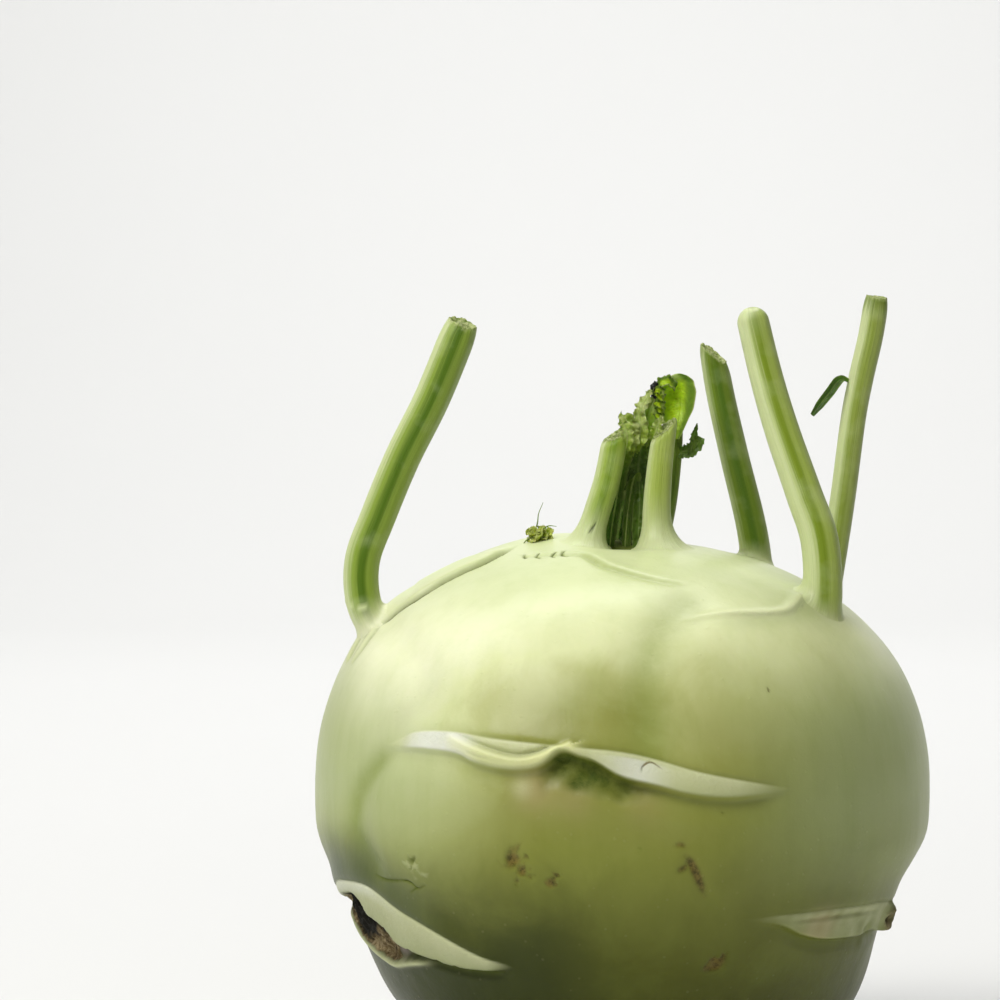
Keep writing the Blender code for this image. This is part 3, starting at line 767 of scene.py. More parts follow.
def skin_colour(wire, place):
    """The skin's colour, and the pattern of faint upright lines in it."""
    height = wire.axis(place, "Z") * (1.0 / SKIN_HEIGHT)
    clouds = wire.noise(place, 28.0, 3.0, 0.5)
    patches = wire.noise(place, 75.0, 4.0, 0.6, 0.4)
    lines = wire.noise(wire.stretched(place, (1.0, 1.0, 0.22)), 210.0, 3.0, 0.6)
    across = wire.axis(place, "X")
    # Colour by height, lighter above and darker below: partly the skin's own colour, partly painted light
    # and shade.
    level = height + (clouds - 0.5) * 0.22 + (patches - 0.5) * 0.12
    # Lighter on the upper left, where the key light falls: painted highlight.
    level = level + across.step(-0.008, -0.040, 0.0, 0.23) * height.step(0.31, 0.60)
    # Darker on the upper right, below the ridge: painted shade.
    level = level - across.step(0.010, 0.038, 0.0, 0.07) * height.step(0.80, 0.92)
    # Darker in a patch on the front, a little above the widest line: painted shade.
    aside = (across + 0.012) * 50.0
    above = (height - 0.725) * 9.0
    middle = (aside * aside + above * above + (patches - 0.5) * 1.2).step(1.5, 0.2)
    middle = middle * wire.axis(place, "Y").step(0.0, -0.035)
    level = level - middle * 0.10
    # Lighter at the far right edge: painted sheen.
    level = level + across.step(0.036, 0.046, 0.0, 0.13) * height.step(0.42, 0.58) * height.step(0.95, 0.78)
    base = wire.node("ValToRGB", {"stops": SKIN_STOPS}, {"Fac": level})
    shaded = ((patches - 0.42) * 1.6).clamp() * 0.26
    colour = shaded.mix(base, CLOUD_AND_SHADE_GREEN)
    # Paler sage on the left and right sides: painted sheen.
    sides = (across.step(-0.014, -0.044) * height.step(0.84, 0.60)
             + across.step(0.012, 0.042) * height.step(0.88, 0.70))
    colour = (sides * height.step(0.34, 0.60) * 0.74).clamp().mix(colour, SHEEN_SAGE)
    # Darker green at the far left edge: painted shade.
    colour = (across.step(-0.042, -0.052) * height.step(0.55, 0.75) * 0.45).mix(colour, CLOUD_AND_SHADE_GREEN)
    colour = (height.step(0.84, 0.98) * 0.7).mix(colour, CROWN_GREEN)
    colour = (across.step(0.020, 0.036) * height.step(0.85, 0.93) * 0.5).mix(colour, SHOULDER_GREEN)
    edge = height + (patches - 0.5) * 0.14 + (clouds - 0.5) * 0.10
    # Dark green low on the left, most at the front: painted shadow, partly the skin's own colour.
    low_left = across.step(0.004, -0.016) * edge.step(0.54, 0.31) * (0.5 + clouds * 0.6)
    low_left = low_left * wire.axis(place, "Y").step(0.010, -0.024, 0.35, 1.0)
    colour = low_left.clamp().mix(colour, SHADOW_GREEN)
    colour = ((lines - 0.45) * 1.6).clamp().mix(colour, LINE_TINT, "MULTIPLY")
    return colour, lines


# %% [markdown]
# Healed tissue in the scars is cream to grey-green. Cork is brown with dark cracks. Recesses, creases,
# folds and slits are painted dark green, as the shade in them, and the skin above the lower left scar is
# painted a grey-green shade. Pores are tiny pale dots all over. The wax gives a soft, wide gloss, and cork
# has none.

# %% Bulb skin material
HEALED = paint(226, 229, 186)
HEALED_SHADE = paint(205, 210, 158)
CORK_LIGHT = paint(164, 148, 112)
CORK_MID = paint(106, 90, 60)
CORK_DARK = paint(38, 33, 18)
RECESS_SHADE_GREEN = paint(88, 100, 30)
BRUISE = paint(178, 158, 114)
ASH = paint(132, 122, 112)
DUSK_SHADE = paint(84, 94, 64)
SILVER = paint(234, 236, 222)
FLAP_YELLOW = paint(232, 234, 168)
DEEP_RECESS_SHADE = paint(56, 74, 8)
STAIN = paint(62, 50, 14)
RUST = paint(120, 104, 46)
CHAR = paint(22, 20, 12)
PORE = paint(214, 216, 160)
CORK_STOPS = ((0.38, CORK_DARK), (0.48, CORK_MID), (0.60, CORK_LIGHT), (0.80, HEALED))


def make_bulb_skin():
    material, wire, place = start_material("bulb_skin")
    colour, lines = skin_colour(wire, place)
    pores = wire.node("TexVoronoi", {"feature": "F1"}, {"Vector": place, "Scale": 420.0, "Randomness": 1.0})
    dots = pores.step(0.16, 0.05)
    colour = (dots * 0.05).mix(colour, PORE)
    grain = wire.noise(place, 1500.0, 4.0, 0.65)
    chips = wire.noise(place, 430.0, 6.0, 0.72, 0.5)
    pale = wire.mask("pale")
    recess = wire.mask("recess")
    bruise = wire.mask("bruise")
    cork = (wire.mask("cork") * (0.55 + chips * 0.9)).step(0.12, 0.55)
    # Painted shade in folds, creases and the valley, and on the lower part of the scar bands.
    colour = (wire.mask("shade") * (0.5 + chips)).clamp().mix(colour, CLOUD_AND_SHADE_GREEN)
    # Painted shade above the lower left scar.
    colour = (wire.mask("dusk") * (0.62 + lines * 0.5)).clamp().mix(colour, DUSK_SHADE)
    colour = (bruise * 0.55).clamp().mix(colour, BRUISE)
    # Painted shade: dark green in recesses, pits and creases.
    colour = (recess + (chips - 0.5) * recess * 0.6).clamp().mix(colour, RECESS_SHADE_GREEN)
    healed = ((lines - 0.5) * 0.9 + (grain - 0.5) * 0.5 + 0.5).clamp().mix(HEALED_SHADE, HEALED)
    colour = (pale * 0.9).clamp().mix(colour, healed)
    # Darker green in the deepest recesses: painted shade.
    colour = (recess.step(0.45, 0.9) * (chips - 0.42) * 3.0).clamp().mix(colour, DEEP_RECESS_SHADE)
    colour = (wire.mask("silver") * (0.55 + lines * 0.6)).clamp().mix(colour, SILVER)
    colour = (wire.mask("flap") * 0.9).clamp().mix(colour, FLAP_YELLOW)
    colour = (wire.mask("ash") * (0.5 + chips)).clamp().mix(colour, ASH)
    cork_colour = wire.node("ValToRGB", {"stops": CORK_STOPS}, {"Fac": chips * 0.8 + grain * 0.2})
    colour = cork.mix(colour, cork_colour)
    colour = (wire.mask("char") * (0.35 + chips * 1.3)).step(0.25, 0.75).mix(colour, CHAR)
    stain = (wire.mask("stain") * (0.45 + chips)).step(0.12, 1.0, 0.0, 0.92)
    rusty = (chips * 0.6 + grain * 0.4).step(0.42, 0.58)
    colour = stain.mix(colour, rusty.mix(STAIN, RUST))
    roughness = 0.40 + cork * 0.40 + recess * 0.25 + pale * 0.14
    roughness = roughness + (grain - 0.5) * 0.12 + (lines - 0.5) * 0.10
    constants = {"Coat Roughness": 0.28, "IOR": 1.33, "Specular IOR Level": 0.35, "Subsurface Weight": 0.10,
                 "Subsurface Radius": (0.6, 0.8, 0.3), "Subsurface Scale": 0.004}
    wax = wire.axis(place, "Z").step(0.020, 0.085, 0.04, 0.26)
    coat = (wax - cork * 0.3 - recess * 0.3).clamp()
    varying = {"Base Color": colour, "Roughness": roughness.clamp(), "Coat Weight": coat}
    bumps = ((lines, 0.00010), (wire.noise(place, 900.0, 3.0, 0.6), 0.00004), (chips * cork, 0.0007),
             (grain * pale, 0.00020), (dots, 0.00003))
    finish_material(wire, constants, varying, bumps)
    return material


bulb_skin = make_bulb_skin()
print("bulb skin has", len(bulb_skin.node_tree.nodes), "nodes")


# %% [markdown]
# ## Setting a piece down
# Every piece is built as a bmesh, and this function makes it an object. It says which part of the
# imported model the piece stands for, what carries it, and which finish it takes.

# %% Putting a piece in place
def set_down(built, name, stands_for, material):
    """Makes a bmesh into a piece that stands for CAD nodes and takes its finish from a slot."""
    mesh = bpy.data.meshes.new(name)
    built.to_mesh(mesh)
    built.free()
    mesh.materials.append(material)
    mesh.shade_smooth()
    piece = bpy.data.objects.new(name, mesh)
    bpy.context.scene.collection.objects.link(piece)
    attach(piece, "root")
    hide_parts(*stands_for)
    triangles = sum(len(face.vertices) - 2 for face in mesh.polygons)
    print(name, "has", triangles, "triangles")
    return piece


set_down(ball, "swollen_bulb", ["bulb"], bulb_skin)


# %% [markdown]
# ## Leaf stalks
# The leaves have been cut off, and seven stalks are left: two long ones in front, two behind, and
# three short ones round the crown. A stalk grows out of the bulb, so its foot spreads and runs
# into the skin. A plain tube pushed into the bulb would show a hard seam. Here every line of
# points up a stalk first finds where it leaves the bulb. A curve then carries it from the skin
# onto the stalk. The surface is one grid of faces rolled up to a tube, with its seam merged.

# %% Rolling a grid of points up to a tube
MERGE_WITHIN = 1e-7


def rolled(rows, marks):
    """A grid of faces through rows of points, its seam and ends merged; marks are values at the points."""
    built = bmesh.new()
    bmesh.ops.create_grid(built, x_segments=rows.shape[1] - 1, y_segments=rows.shape[0] - 1, size=1.0)
    for vertex, point in zip(built.verts, rows.reshape(-1, 3)):
        vertex.co = (Vector(point) + MIDDLE) * MM
    for name, values in marks.items():
        write_mask(built, name, np.broadcast_to(values, rows.shape[:2]).ravel())
    bmesh.ops.remove_doubles(built, verts=built.verts[:], dist=MERGE_WITHIN)
    bmesh.ops.recalc_face_normals(built, faces=built.faces[:])
    if built.calc_volume(signed=True) < 0.0:
        bmesh.ops.reverse_faces(built, faces=built.faces[:])
    return built


def frames_along(route, aside=(1.0, 0.0, 0.0)):
    """The ways ahead, to the right and to the back at each point of a route, square to each other."""
    ahead = unit(np.gradient(route, axis=0))
    right = square_to(ahead, aside)
    return ahead, right, np.cross(ahead, right)


def above_skin(points):
    """Millimetres from the bulb's skin, along the line from its middle."""
    length = np.linalg.norm(points, axis=-1)
    skin = Skin((points / length[..., None]).reshape(-1, 3))
    return length - full_reach(skin, blank_masks(skin)).reshape(length.shape)


def onto_skin(points, sink):
    """The points moved to just under the bulb's skin."""
    length = np.linalg.norm(points, axis=-1, keepdims=True)
    return points * (1.0 - (above_skin(points)[..., None] + sink) / length)


# %% The seven stalks
USUAL_SPREAD = 2.6
# Name: radius at the foot and at the top, how far the foot spreads, how high it keeps the colour
# of the skin, its route, and the cut as a point and the way it faces.
STALKS = {
    "left_stalk": (3.15, 3.3, 1.9, 3.5, (
        (-42.6, -7.4, 29.6), (-45.7, -8.0, 36.0), (-46.0, -7.8, 43.5), (-43.2, -7.2, 51.4),
        (-38.9, -6.6, 61.8), (-33.5, -6.0, 72.7), (-28.1, -5.4, 86.0), (-26.7, -5.2, 89.0)),
        ((-27.9, -5.4, 85.7), (0.36, -0.22, 0.90))),
    "right_front_stalk": (3.6, 2.8, 2.6, 1.6, (
        (33.6, -18.4, 30.0), (34.8, -19.1, 37.5), (34.3, -18.7, 47.6), (31.6, -17.3, 55.9),
        (27.9, -15.2, 66.8), (25.1, -13.6, 76.6), (22.2, -12.1, 89.0)), None),
    "right_rear_stalk": (2.35, 2.35, 2.4, 6.0, (
        (36.8, 17.0, 29.0), (39.1, 19.0, 42.5), (40.9, 20.0, 54.1), (42.8, 21.0, 68.4), (44.3, 22.0, 76.1),
        (46.2, 23.0, 84.3), (47.6, 24.0, 93.0)), ((47.4, 24.0, 91.2), (0.16, -0.14, 0.98))),
    "rear_stalk": (3.0, 2.45, 2.0, 5.0, (
        (25.2, 15.6, 36.0), (24.6, 15.0, 43.4), (23.4, 14.0, 50.4), (20.4, 12.5, 62.4), (17.7, 11.0, 74.3),
        (16.0, 10.1, 85.0)), ((16.7, 10.4, 80.6), (0.58, -0.26, 0.77))),
    "crown_left_stalk": (2.45, 2.3, 3.9, 8.0, (
        (-7.1, -6.6, 42.0), (-6.1, -6.2, 46.5), (-4.1, -5.4, 52.8), (-2.4, -4.8, 58.5), (-1.0, -4.2, 66.0),
        (-0.3, -3.9, 71.0)), ((-1.1, -4.2, 65.8), (-0.40, -0.30, 0.86))),
    "crown_right_stalk": (2.9, 1.9, 4.6, 8.0, (
        (6.7, -6.8, 42.0), (6.2, -6.4, 46.5), (6.2, -6.0, 53.0), (6.7, -5.4, 60.0), (7.6, -4.8, 67.0),
        (8.3, -4.6, 72.0)), ((7.3, -4.8, 66.8), (-0.62, -0.28, 0.73))),
    "crown_rear_stalk": (1.25, 1.0, 1.6, 4.0, (
        (7.2, 3.4, 42.0), (7.6, 3.4, 47.0), (8.9, 3.4, 54.0), (9.8, 3.6, 62.0), (10.1, 4.2, 68.4)), None),
}
STALK_COLUMNS = 88
FOOT_ROWS = 14
WALL_ROWS = 46
FOOT_HEIGHT = 3.4
FOOT_SINK = 0.16
CUT_PINCH = 0.16
FOOT_BIAS = {"crown_left_stalk": -0.06, "crown_right_stalk": 0.35, "right_front_stalk": -0.3}
# Name: thin marks as pale or dark, width, and start and end, both across and up, on the front.
NICKS = {
    "left_stalk": ((1.0, 0.30, (-49.2, 36.0), (-47.2, 35.3)), (1.0, 0.30, (-47.2, 35.3), (-44.8, 35.5))),
    "crown_left_stalk": ((-1.0, 0.14, (-4.5, 50.5), (-5.2, 48.9)),
                         (-1.0, 0.11, (-5.2, 49.6), (-5.7, 48.6))),
    "right_front_stalk": ((-1.0, 0.20, (21.4, 81.2), (22.3, 80.9)),
                          (1.0, 0.35, (21.8, 87.6), (23.6, 88.0))),
}


def stalk_walls(radius, top_radius, route):
    """Rings of points up the stalk, faintly ribbed, with a shallow groove on the side to the crown."""
    centre = smooth_route(route, 14)
    ahead, right, back = frames_along(centre)
    turns = np.linspace(0.0, 2.0 * np.pi, STALK_COLUMNS + 1)
    side = np.sign(-route[0][0])
    grown = np.linspace(radius, top_radius, len(centre))[:, None]
    width = grown * (1.0 + 0.02 * np.cos(2.0 * turns + 0.7) + 0.006 * np.cos(9.0 * turns)
                      - 0.05 * np.exp(-((np.cos(turns) - side) / 0.25) ** 2))
    outward = np.cos(turns)[None, :, None] * right[:, None] + np.sin(turns)[None, :, None] * back[:, None]
    return centre[:, None] + width[:, :, None] * outward, outward, turns, ahead


def read_walls(walls, places):
    """Points on the walls at fractional ring numbers, one for each column."""
    places = np.clip(places, 0.0, len(walls) - 1.001)
    low = places.astype(int)
    share = (places - low)[..., None]
    columns = np.arange(walls.shape[1])
    return walls[low, columns] * (1.0 - share) + walls[low + 1, columns] * share


def crossing(heights):
    """In each column, the fractional ring number where the height last goes from below 0 to above."""
    places = np.zeros(heights.shape[1])
    for column in range(heights.shape[1]):
        below = np.nonzero(heights[:, column] < 0.0)[0]
        last = min(below[-1] if len(below) else 0, len(heights) - 2)
        start, end = heights[last, column], heights[last + 1, column]
        places[column] = last + np.clip(-start / (end - start + 1e-9), 0.0, 1.0)
    return places


def jagged(turns, size, seed):
    """A torn rim: random steps round a cut, the same at both ends of the turn."""
    steps = [noise.noise(Vector((2.6 * math.cos(t), 2.6 * math.sin(t), seed))) for t in turns]
    fibres = [noise.noise(Vector((9.0 * math.cos(t), 9.0 * math.sin(t), seed + 4.0))) for t in turns]
    return size * (np.array(steps) + 0.6 * np.array(fibres))


# %% [markdown]
# ## Foot and cut
# A stalk flares where it leaves the skin. At its top the cut has sunk a little, because the soft
# middle dries first. A stalk without a cut ends in a small dome.

# %% From the skin up to the cut
# How far out each ring of a cut lies, and how deep it has sunk in millimetres.
CUT_STEPS = ((0.93, -0.10), (0.84, 0.12), (0.74, 0.42), (0.60, 0.55), (0.42, 0.38), (0.22, 0.62),
             (0.0, 0.5))


def cut_rows(rim, normal, turns, depth, seed):
    """Rings from a torn rim over the cut face to its middle, which is sunk and fibrous."""
    middle = rim[:-1].mean(axis=0)
    rows = []
    for share, sunk in CUT_STEPS:
        drop = sunk * depth + jagged(turns, 0.30 * depth * (share > 0.0), seed + share * 7.0)
        rows.append(middle + (rim - middle) * share - drop[:, None] * normal)
    return rows


def dome_rows(rim, ahead, radius):
    """Rings that close a stalk with a round end."""
    middle = rim[:-1].mean(axis=0)
    lifts = np.linspace(0.12, 1.0, 9) * math.pi / 2.0
    return [middle + (rim - middle) * math.cos(lift) + ahead * radius * math.sin(lift) for lift in lifts]


def nicked(rows, nicks):
    """How much of a pale (+) or dark (-) thin mark lies at each point of the front."""
    places = rows[..., (0, 2)]
    front = rows[..., 1] < rows[:, :-1, 1].mean(axis=1)[:, None]
    amount = np.zeros(rows.shape[:2])
    for sign, width, start, end in nicks:
        start, run = np.array(start), np.array(end) - np.array(start)
        share = np.clip((places - start) @ run / (run @ run), 0.0, 1.0)
        gap = np.linalg.norm(places - start - share[..., None] * run, axis=-1)
        amount += sign * hill(gap, width) * front
    return np.clip(amount, -1.0, 1.0)


def build_stalk(name, radius, top_radius, spread, skin_height, route, cut):
    walls, outward, turns, ahead = stalk_walls(radius, top_radius, route)
    start = crossing(above_skin(walls))
    step = np.linalg.norm(np.diff(walls[:, 0], axis=0), axis=1).mean()
    foot_height = FOOT_HEIGHT * spread / USUAL_SPREAD
    if cut is None:
        end = np.full(len(turns), len(walls) - 1.0 - top_radius / step)
        normal = ahead[-1]
    else:
        normal = np.array(cut[1]) / np.linalg.norm(cut[1])
        end = crossing((walls - np.array(cut[0])) @ normal)
        end = end + jagged(turns, 0.42 * radius / 3.0, radius) / step
    root = read_walls(walls, start)
    middle = root[:-1].mean(axis=0)
    away = read_walls(outward, start)
    upright = middle / np.linalg.norm(middle)
    flat = away - (away @ upright)[:, None] * upright
    reach = spread * (1.0 + FOOT_BIAS.get(name, 0.0) * np.cos(turns))
    rim = onto_skin(root + reach[:, None] * flat, FOOT_SINK)
    neck = read_walls(walls, start + foot_height / step)
    rows = [np.repeat(middle[None] * (1.0 - 6.0 / np.linalg.norm(middle)), len(turns), axis=0),
            middle + (rim - middle) * 0.6 - upright * 4.0, rim - upright * 1.2]
    foot = [1.0, 1.0, 1.0]
    for share in np.linspace(0.0, 1.0, FOOT_ROWS):
        rows.append((1 - share) ** 2 * rim + 2 * share * (1 - share) * root + share ** 2 * neck)
        foot.append(1.0 - 0.55 * share)
    for share in np.linspace(0.0, 1.0, WALL_ROWS)[1:]:
        ring = read_walls(walls, (start + foot_height / step) * (1.0 - share) + end * share)
        heart = ring[:-1].mean(axis=0)
        pinch = CUT_PINCH * max(0.0, share * 14.0 - 13.0) ** 2 * (cut is not None)
        rows.append(heart + (ring - heart) * (1.0 - pinch))
        foot.append(max(0.0, 0.45 * (1.0 - share * (end - start).mean() * step / skin_height)))
    wall_count = len(rows)
    if cut is None:
        rows += dome_rows(rows[-1], normal, top_radius)
    else:
        rows += cut_rows(rows[-1], normal, turns, (radius / 3.1) ** 3, radius)
    foot += [0.0] * (len(rows) - wall_count)
    rows = np.array(rows)
    rows[:, -1] = rows[:, 0]
    nicks = nicked(rows, NICKS.get(name, ()))
    rows += (0.25 * nicks)[..., None] * outward[:1]
    count = len(rows)
    opened = np.zeros(count)
    opened[wall_count - 1:] = 0.0 if cut is None else 1.0
    opened[wall_count - 1] *= 0.5
    marks = {
        "foot": np.array(foot)[:, None],
        "cut": opened[:, None],
        "around_x": np.cos(turns)[None],
        "around_y": np.sin(turns)[None],
        "along": (np.arange(count) / count)[:, None],
        "nick": nicks,
    }
    return rolled(rows, marks)


# %% [markdown]
# A stalk is green, with a band of deep green down its front and fine fibres along it. Its left side, where
# the key light falls, is painted paler as a highlight, and so is the left of the right front stalk's domed
# top. At the foot it takes the colour of the bulb's skin. A cut end is ragged: a dull green ring round a
# moist, darker middle.

# %% Stalk material
STALK_GREEN = paint(142, 166, 62)
STALK_PALE_AND_HIGHLIGHT = paint(214, 224, 168)
STALK_GREY = paint(160, 172, 116)
CUT_RIM = paint(196, 204, 140)
CUT_GREEN = paint(112, 132, 36)
SLIT_GREEN = paint(52, 66, 14)
FIBRE_TINT = (0.78, 0.82, 0.66, 1.0)


def make_stalk_finish(name, green, deep, highlight_share, deep_share, highlight_edge=-0.40, tip_highlight_share=0.0,
                      torn_share=0.0, foot_from=0.04):
    material, wire, place = start_material(name)
    skin, _ = skin_colour(wire, place)
    around_x = wire.mask("around_x")
    around_y = wire.mask("around_y")
    along = wire.mask("along")
    foot = wire.mask("foot")
    cut = wire.mask("cut")
    unrolled = wire.node("CombineXYZ", {}, {"X": around_x, "Y": around_y, "Z": along * 0.55})
    fibres = wire.noise(unrolled, 5.0, 4.0, 0.6)
    fine = wire.noise(wire.stretched(unrolled, (1.0, 1.0, 0.4)), 17.0, 3.0, 0.6)
    blotches = wire.noise(place, 160.0, 3.0, 0.5)
    band = ((around_x + (fibres - 0.5) * 0.4).step(-0.40, -0.02)
            * (around_x + (fibres - 0.5) * 0.3).step(0.42, 0.16))
    band = band * around_y.step(0.5, -0.3)
    colour = (band * deep_share * (0.6 + fibres * 0.8)).clamp().mix(green, deep)
    # Paler on the left side, where the key light falls: painted highlight.
    pale = (around_x + (fibres - 0.5) * 0.45 + (fine - 0.5) * 0.3).step(highlight_edge, highlight_edge - 0.5)
    colour = (pale * highlight_share).clamp().mix(colour, STALK_PALE_AND_HIGHLIGHT)
    colour = ((around_x + (fine - 0.5) * 0.3).step(0.55, 0.95) * 0.45).mix(colour, STALK_GREY)
    colour = ((fine - 0.45) * 1.5).clamp().mix(colour, FIBRE_TINT, "MULTIPLY")
    colour = ((blotches - 0.5) * 1.2).clamp().mix(colour, STALK_PALE_AND_HIGHLIGHT)
    # Paler on the left of a domed top: painted highlight.
    tip = along.step(0.80, 0.94) * (around_x + (fine - 0.5) * 0.6).step(0.9, -0.2) * tip_highlight_share
    colour = tip.mix(colour, STALK_PALE_AND_HIGHLIGHT)
    torn = (along + (fine - 0.5) * 0.08 + (fibres - 0.5) * 0.06).step(0.825, 0.885) * torn_share
    colour = torn.mix(colour, CUT_GREEN)
    blend = (foot + (blotches - 0.5) * 0.30 + (fibres - 0.5) * 0.25).step(foot_from, foot_from + 0.76)
    colour = blend.mix(colour, skin)
    nick = wire.mask("nick")
    colour = nick.clamp().mix(colour, STALK_PALE_AND_HIGHLIGHT)
    colour = (nick * -0.9).clamp().mix(colour, SLIT_GREEN)
    moist = wire.noise(place, 1400.0, 4.0, 0.7)
    open_face = moist.step(0.35, 0.65).mix(CUT_GREEN, CUT_RIM)
    colour = cut.step(0.15, 0.7).mix(colour, open_face)
    roughness = 0.42 + (fibres - 0.5) * 0.2 + cut * 0.08
    constants = {"IOR": 1.36, "Coat Roughness": 0.3, "Subsurface Weight": 0.12,
                 "Subsurface Radius": (0.6, 0.9, 0.25), "Subsurface Scale": 0.003}
    varying = {"Base Color": colour, "Roughness": roughness.clamp(),
               "Coat Weight": (0.16 - cut * 0.1).clamp()}
    bumps = ((fibres, 0.00022), (fine, 0.00012), (moist * cut, 0.0006))
    finish_material(wire, constants, varying, bumps)
    return material


STALK_FINISHES = {
    "left_stalk": (STALK_GREEN, paint(84, 116, 8), 0.95, 1.0),
    "right_front_stalk": (paint(168, 186, 88), paint(128, 150, 36), 1.0, 1.0, -0.05, 0.75, 0.0, 0.34),
    "right_rear_stalk": (paint(162, 178, 90), paint(142, 160, 58), 1.0, 0.7, -0.15, 0.0, 0.85),
    "rear_stalk": (paint(118, 142, 40), paint(86, 118, 12), 0.75, 1.0, -0.42, 0.0, 0.5),
    "crown_left_stalk": (paint(156, 180, 66), paint(120, 150, 24), 0.9, 1.0),
    "crown_right_stalk": (paint(176, 192, 96), paint(158, 176, 72), 0.8, 0.7),
    "crown_rear_stalk": (paint(110, 134, 40), paint(84, 108, 20), 0.4, 0.8),
}
for name, shape in STALKS.items():
    finish = make_stalk_finish("finish_of_" + name, *STALK_FINISHES[name])
    set_down(build_stalk(name, *shape), name + "_stub", [name], finish)


# %% [markdown]
# ## Young leaves
# The youngest leaves stand between the crown stalks. Each is a thin blade with a midrib. Its
# lower part is folded and dark, and its margin is frilled, since the edge of a leaf grows faster
# than its middle. A flat shape with a picture of frills on it would look like paper. Here a grid
# of faces follows the midrib. The blade is curled across, and its margin is waved and toothed.
# Two such grids, back to back and joined at their margins, give it a thickness.

# %% One blade
LEAF_ROWS = 72
LEAF_COLUMNS = 26


def blade(built, route, widths, facing, tones, curl=0.5, frill=(0.0, 0.0), waves=6.0, teeth=(0.0, 0.0, 9.0),
          thickness=0.30, seed=1.0, sides=(1.0, 1.0), rough=1.0, pale_margin=1.0):
    """Adds a leaf blade. Curl bends the margins forward, by a share of the half width. Frill is the
    height of the waves at the foot and at the tip. Teeth are (left, right, number), and tones run
    from 0, dark green, to 1, bright yellow-green, up the blade. Sides scale the left and right half."""
    centre = smooth_route(route, 16)
    picks = np.linspace(0.0, len(centre) - 1.0, LEAF_ROWS)
    centre = np.array([np.interp(picks, np.arange(len(centre)), centre[:, axis]) for axis in range(3)]).T
    ahead = unit(np.gradient(centre, axis=0))
    front = square_to(ahead, facing)
    right = np.cross(ahead, front)
    along = np.linspace(0.0, 1.0, LEAF_ROWS)[:, None]
    across = np.linspace(-1.0, 1.0, LEAF_COLUMNS)[None]
    half = np.interp(along, np.linspace(0.0, 1.0, len(widths)), widths)
    half = half * np.where(across < 0.0, sides[0], sides[1])
    left_teeth, right_teeth, number = teeth
    saw = np.abs((along * number + 0.13 * np.sin(along * 40.0 + seed)) % 1.0 - 0.35) * 2.0
    toothed = np.where(across < 0.0, left_teeth, right_teeth) * np.abs(across) ** 3
    reach = half * (1.0 - toothed * saw)
    height = np.interp(along, (0.0, 0.35, 1.0), (frill[0], frill[0], frill[1]))
    turn = 2.0 * np.pi * waves * along + np.where(across < 0.0, 0.0, 1.9) + seed
    wave = height * (np.sin(turn) + 0.5 * np.sin(2.3 * turn + 1.0)) * np.abs(across) ** 1.6
    slide = 0.5 * height * np.cos(turn * 1.3) * np.abs(across) ** 2
    points = (centre[:, None] + (reach * across)[..., None] * right[:, None]
              + (curl * half * across ** 2 + wave)[..., None] * front[:, None]
              + slide[..., None] * ahead[:, None])
    wrinkles = lumps(points.reshape(-1, 3), 0.9, seed).reshape(LEAF_ROWS, LEAF_COLUMNS)
    points += (rough * (0.10 + 0.22 * height) * wrinkles)[..., None] * front[:, None]
    body = (1.0 - across ** 4) * tapered(along, 0.25)
    offset = (0.5 * thickness * body)[..., None] * front[:, None]
    tone = np.interp(along, np.linspace(0.0, 1.0, len(tones)), tones) + np.zeros_like(across)
    marks = {"tone": tone,
             "margin": pale_margin * np.abs(across) ** 4 + np.zeros_like(along),
             "across": across + np.zeros_like(along),
             "along": along + np.zeros_like(across)}
    two_sided = {name: np.hstack((values, values[:, ::-1])) for name, values in marks.items()}
    join(built, rolled(np.hstack((points + offset, (points - offset)[:, ::-1])),
                       {**two_sided, "soot": 0.0}))


def join(built, part):
    """Moves everything in one bmesh into another."""
    passing = bpy.data.meshes.new("passing")
    part.to_mesh(passing)
    part.free()
    built.from_mesh(passing)
    bpy.data.meshes.remove(passing)


# %% [markdown]
# The leaf's colour runs from a dark bottle green deep between the stalks to a bright yellow-green higher
# up. This is partly the leaves' own colour and partly painted light and shade: dark low down, where shade
# falls between the stalks, and bright where the light falls. The midrib and the side veins are paler, and
# so is the margin.

# %% Leaf material
LEAF_DARK = paint(52, 78, 16)
LEAF_GREEN = paint(96, 128, 26)
LEAF_BRIGHT = paint(158, 186, 44)
LEAF_GLOW = paint(186, 222, 8)
LEAF_PALE = paint(206, 220, 140)
SOOT = paint(16, 18, 14)


